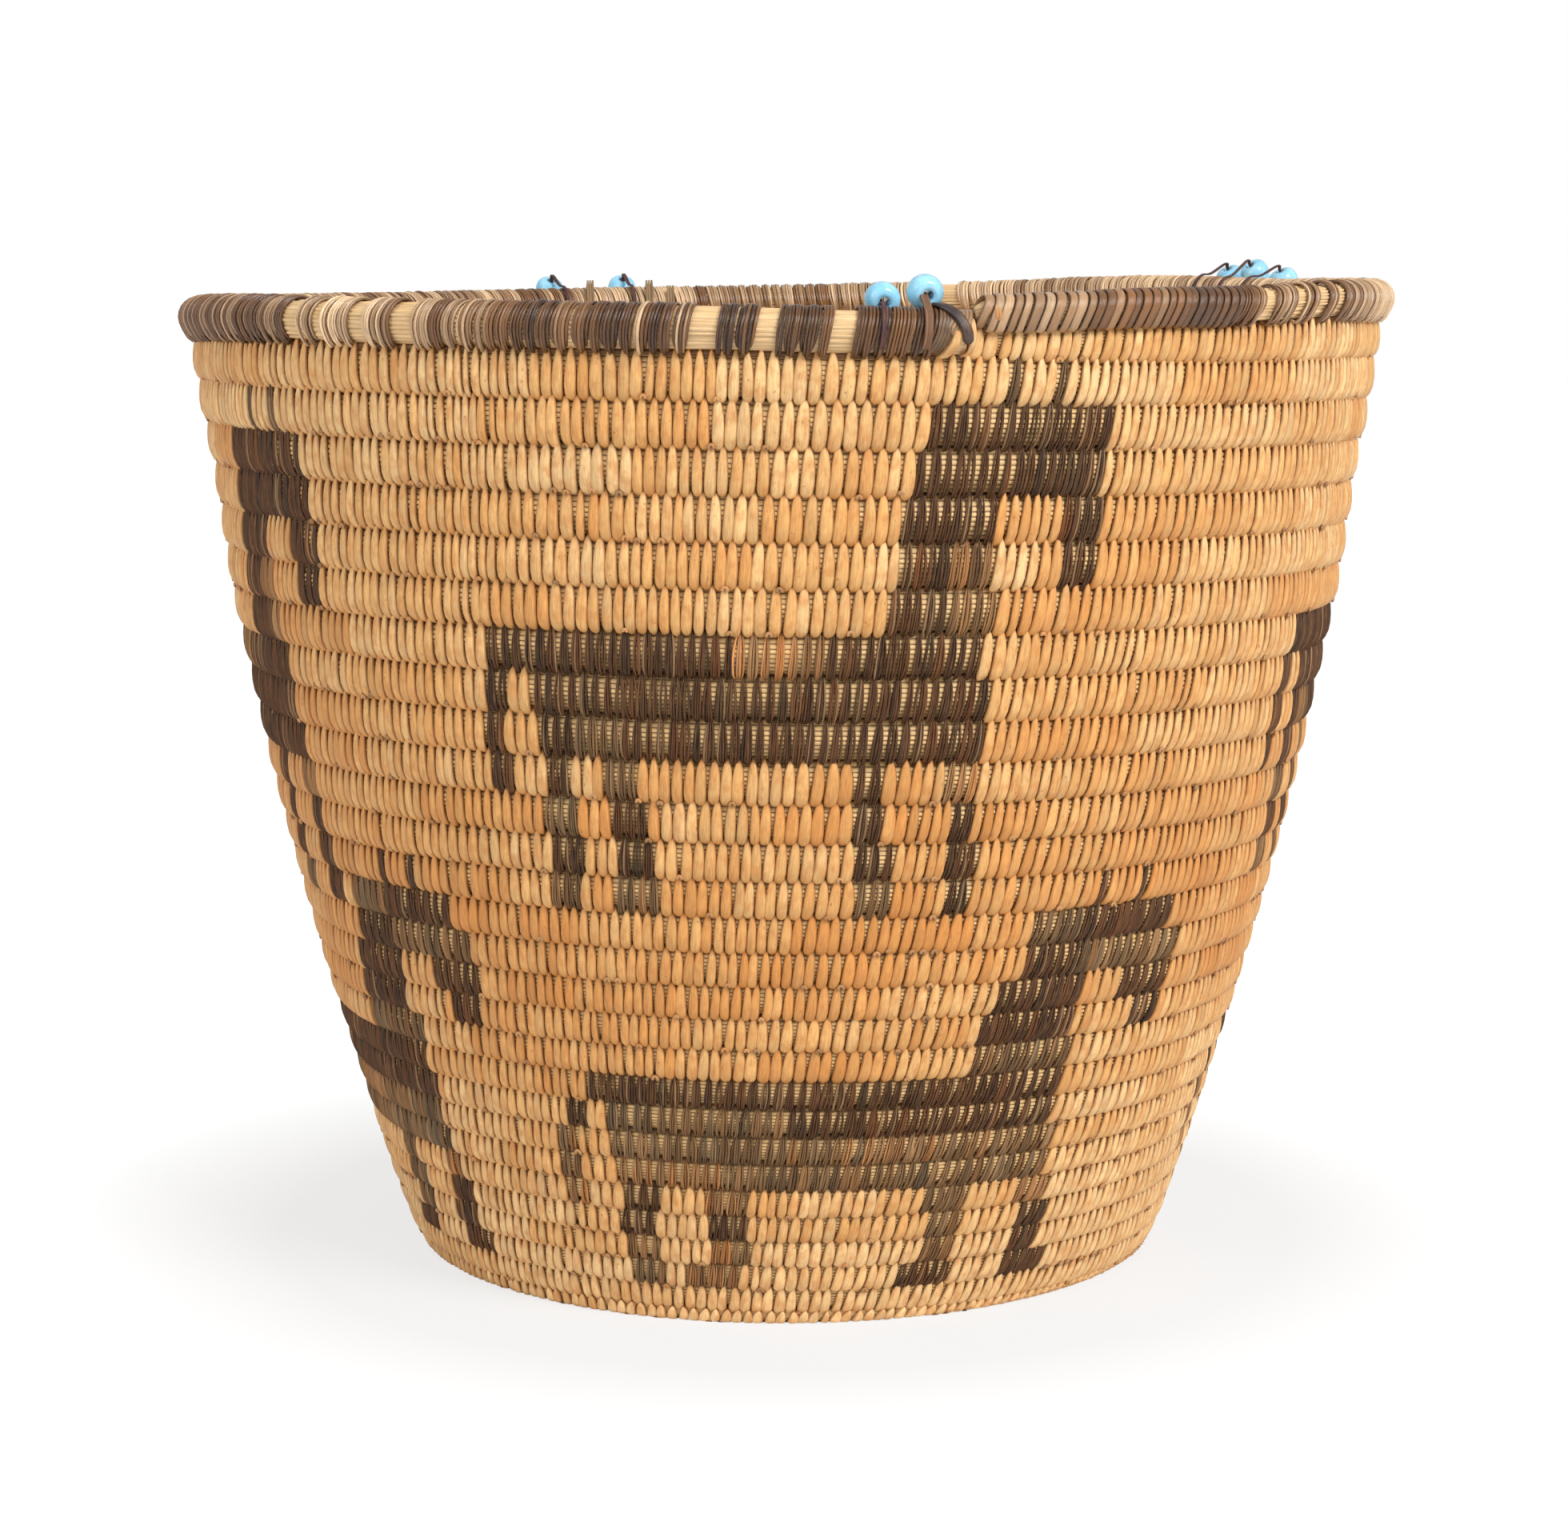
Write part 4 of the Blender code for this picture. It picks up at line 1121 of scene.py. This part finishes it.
def rim_strip(name, path, width, shade, material, rng, strands):
    """Splint laid over the rim along a path of STEP_STRIPS."""
    steps = np.linspace(0.0, len(path) - 1.0, STRIP_STEPS)
    degrees, angles, lifts = (np.interp(steps, range(len(path)), values) for values in zip(*path))
    turn, section = turn_at(degrees), np.radians(angles)
    radius, middle, thick, tall = rim_station(turn)
    across, over = (thick / 2.0 + lifts * MM) * np.cos(section), (tall / 2.0 + lifts * MM) * np.sin(section)
    centre = placed(turn, radius + across, middle + over)
    normal = placed(turn, np.cos(section), np.sin(section))
    side = unit(np.cross(unit(np.gradient(centre, axis=0)), normal))
    places = (np.arange(strands) - (strands - 1) / 2.0) * width * 1.8
    centre = np.stack([centre + side * place for place in places])
    normal = np.broadcast_to(normal, centre.shape)
    widths = narrowed(centre.shape, width, 0.55)
    tint = linear(shade) * rng.uniform(0.8, 1.25, (strands, 1))
    group = strand_group(centre, normal, widths, widths * 0.6, crowned(6, 0.7), tint, rng)
    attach(strand_piece(name, [group], material), "basket")


def build_step(pale, wrap):
    """The coil's end: its loose dark splint, the last bands over it, and the first stitches beside it."""
    rng = np.random.default_rng(SEED + 8)
    for name, width, shade, strands, path in STEP_STRIPS:
        material = wrap if name.startswith("dark") else pale
        rim_strip(f"step_{name}", path, width, shade, material, rng, strands)


def build_button(material):
    """Splint crossed over the hole in the middle of the base, on both its faces."""
    rng = np.random.default_rng(SEED + 9)
    places = (np.arange(BUTTON_STRANDS) - (BUTTON_STRANDS - 1) / 2.0)[:, None] * BUTTON_SPACING
    across = np.linspace(-1.0, 1.0, BUTTON_STEPS)
    reach = np.sqrt(BUTTON_RADIUS ** 2 - places ** 2)
    for name, height, side in BUTTON_FACES:
        rise = height - side * across ** 2 * BUTTON_CROWN
        centre = np.stack(np.broadcast_arrays(reach * across, places, rise), -1)
        width = np.full(centre.shape[:2], BUTTON_WIDTH)
        tint = linear(STRAW) * rng.uniform(0.75, 1.0, (BUTTON_STRANDS, 1))
        normal = np.broadcast_to(UP * side, centre.shape)
        group = strand_group(centre, normal, width, width * 0.7, crowned(6, 0.8), tint, rng)
        piece = strand_piece(f"base_button_{name}", [group], material)
        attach(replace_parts(piece, "base_coil"), "basket")


# Building: where the wall's and the base's spirals start and end, and the bands they are made in

WALL_START, WALL_END = -1.14, WALL_TURNS - 0.001
WALL_BANDS = [WALL_START - 1.0, 2.8, 6.6, 10.1, SPLIT_TURN, 16.9, 20.3, 23.7, WALL_TURNS + 1.0]
BASE_BANDS = [FIRST_TURN - 1.0, -4.6, 1.0]


def build_stitches(course, word, first, last, bands, pale, dark):
    rng = np.random.default_rng(SEED)
    turns = stitch_turns(course, first, last)
    around = course.around(turns)
    spacing = np.diff(turns, append=2.0 * turns[-1] - turns[-2]) * around
    spacing = np.clip(np.minimum(spacing, np.roll(spacing, 1)), NARROWEST, WIDEST)
    widths = spacing / 2.0 * STITCH_SHARE * rng.normal(1.0, WIDTH_SPREAD, len(turns))
    widths = np.where(rng.random(len(turns)) < THIN_SHARE, widths * THINNED, widths)
    shades = shades_of(turns)
    tints = pale_tints(turns, rng)
    turns = turns + rng.normal(0.0, JITTER, len(turns)) / around
    for number, (start, end, node) in enumerate(bands, start=1):
        inside = (turns >= start) & (turns < end)
        light, heavy = inside & (shades == 0), inside & (shades > 0)
        for side, face in ((1, "outer"), (-1, "inner")):
            tint = tints[light] if side > 0 else (tints[light] + linear(INSIDE)) / 2.0
            groups = [stitch_group(course, turns[light], widths[light], tint, side, rng, crowned(6, 0.9))]
            if course is WALL and side > 0:
                some = light & (rng.random(len(turns)) < KNOT_SHARE)
                groups.append(knots(turns[some] + 0.5 * spacing[some] / around[some], rng))
            piece = strand_piece(f"{word}_stitches_{face}_{number}", groups, pale)
            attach(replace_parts(piece, node), "basket")
            if heavy.any():
                groups = strand_stitches(course, turns[heavy], shades[heavy], side, rng, crowned(3, 0.8))
                piece = strand_piece(f"{word}_dark_{face}_{number}", groups, dark)
                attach(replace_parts(piece, node), "basket")


def build_basket():
    pale, dark, wrap = pale_splint(), dark_splint("dark_splint", 0.55), dark_splint("rim_splint", 0.28)
    stalks, thong, bead_look = grass(), dark_splint("thong_splint", 0.55), glass()
    lower, upper = "wall_coil_lower", "wall_coil_upper"
    bands = [(a, b, lower if b <= SPLIT_TURN else upper) for a, b in zip(WALL_BANDS, WALL_BANDS[1:])]
    build_stitches(WALL, "wall", WALL_START, WALL_END, bands, pale, dark)
    bands = [(a, b, "base_coil") for a, b in zip(BASE_BANDS, BASE_BANDS[1:])]
    build_stitches(BASE, "base", FIRST_TURN, -0.02, bands, pale, dark)
    bundles = [
        ("base_grass", BASE, FIRST_TURN - 0.45, -0.001, 48, (6, 6), "base_coil"),
        ("wall_grass_lower", WALL, WALL_START, SPLIT_TURN, 90, (9, 6), lower),
        ("wall_grass_upper", WALL, SPLIT_TURN, WALL_END, 100, (9, 6), upper),
    ]
    for seed, (name, course, first, last, steps, ridges, node) in enumerate(bundles, start=10):
        piece = bundle(name, course, first, last, steps, ridges, stalks, seed)
        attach(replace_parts(piece, node), "basket")
    build_button(pale)
    build_seam("rim_seam", WALL_TURNS - 1.0, WALL_END, 0.45, upper, stalks)
    build_seam("heel_seam", WALL_START, 0.6, -0.25, lower, stalks)
    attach(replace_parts(rim_bundle(stalks), "rim_coil"), "basket")
    rng = np.random.default_rng(SEED + 3)
    for number, (first, last) in enumerate(wrap_spans(), start=1):
        piece = rim_wrap(number, first, last, rng, wrap)
        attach(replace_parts(piece, f"rim_wrap_{number:02d}"), "basket")
    build_step(pale, wrap)
    build_thongs(thong)
    build_ends(thong)
    for number, places in enumerate(BEAD_DEGREES, start=1):
        build_bead(number, *places, bead_look)


# Camera, light and stage. The lamps, each with its place, size and power, point at one height. The floor
# shines from one strength to another between two distances, and is darker to the camera than to light,
# while the surroundings are brighter to the camera

LIT_HEIGHT = 0.1
LAMPS = [("key", (1.1, -1.3, 1.5), 0.9, 34.5), ("fill", (-1.4, -1.2, 1.0), 1.2, 8.0)]
FLOOR_REACH = 6.0
FLOOR_LIGHT = (0.13, 0.22, 0.72, 0.96)
FLOOR_SHADES = (0.80, 0.20)
SURROUNDINGS = (0.56, 1.0)


def build_camera():
    camera = bpy.data.cameras.new("camera")
    camera.sensor_width = SENSOR
    camera.lens = FOCAL_PIXELS / IMAGE_WIDTH * SENSOR
    camera.clip_start = 0.01
    holder = linked("camera", camera)
    holder.location = (0.0, -CAMERA_DISTANCE, CAMERA_HEIGHT)
    holder.rotation_euler = (math.radians(90.0 - CAMERA_PITCH), 0.0, math.radians(CAMERA_YAW))
    bpy.context.scene.camera = holder


def area_light(name, place, size, power):
    lamp = bpy.data.lights.new(name, "AREA")
    lamp.size = size
    lamp.energy = power
    holder = linked(name, lamp)
    holder.location = place
    towards = Vector((0.0, 0.0, LIT_HEIGHT)) - Vector(place)
    holder.rotation_euler = towards.to_track_quat("-Z", "Y").to_euler()


def build_floor():
    look = Look("floor", 0.9)
    look.shader.inputs["Specular IOR Level"].default_value = 0.0
    look.shader.inputs["Emission Color"].default_value = (1.0, 1.0, 1.0, 1.0)
    seen = look.node("ShaderNodeLightPath").outputs["Is Camera Ray"]
    look.link(look.spread(seen, 0.0, 1.0, *FLOOR_SHADES), look.shader.inputs["Base Color"])
    far = look.node("ShaderNodeVectorMath", operation="LENGTH")
    look.link(look.node("ShaderNodeTexCoord").outputs["Object"], far.inputs[0])
    level = look.node("ShaderNodeMath", operation="MULTIPLY")
    look.link(seen, level.inputs[0])
    look.link(look.spread(far.outputs["Value"], *FLOOR_LIGHT), level.inputs[1])
    look.link(level.outputs[0], look.shader.inputs["Emission Strength"])
    corners = [(x * FLOOR_REACH, y * FLOOR_REACH, 0.0) for x, y in ((-1, -1), (1, -1), (1, 1), (-1, 1))]
    mesh = bpy.data.meshes.new("floor")
    mesh.from_pydata(corners, [], [(0, 1, 2, 3)])
    mesh.materials.append(look.material)
    linked("floor", mesh)


def build_world():
    world = bpy.data.worlds.new("surroundings")
    bpy.context.scene.world = world
    world.use_nodes = True
    tree = world.node_tree
    background = tree.nodes["Background"]
    background.inputs["Color"].default_value = (1.0, 1.0, 1.0, 1.0)
    path = tree.nodes.new("ShaderNodeLightPath")
    level = tree.nodes.new("ShaderNodeMapRange")
    level.inputs["To Min"].default_value, level.inputs["To Max"].default_value = SURROUNDINGS
    tree.links.new(path.outputs["Is Camera Ray"], level.inputs["Value"])
    tree.links.new(level.outputs[0], background.inputs["Strength"])


build_camera()
build_floor()
build_world()
for lamp_values in LAMPS:
    area_light(*lamp_values)
bpy.context.scene.view_settings.view_transform = "Standard"
build_basket()
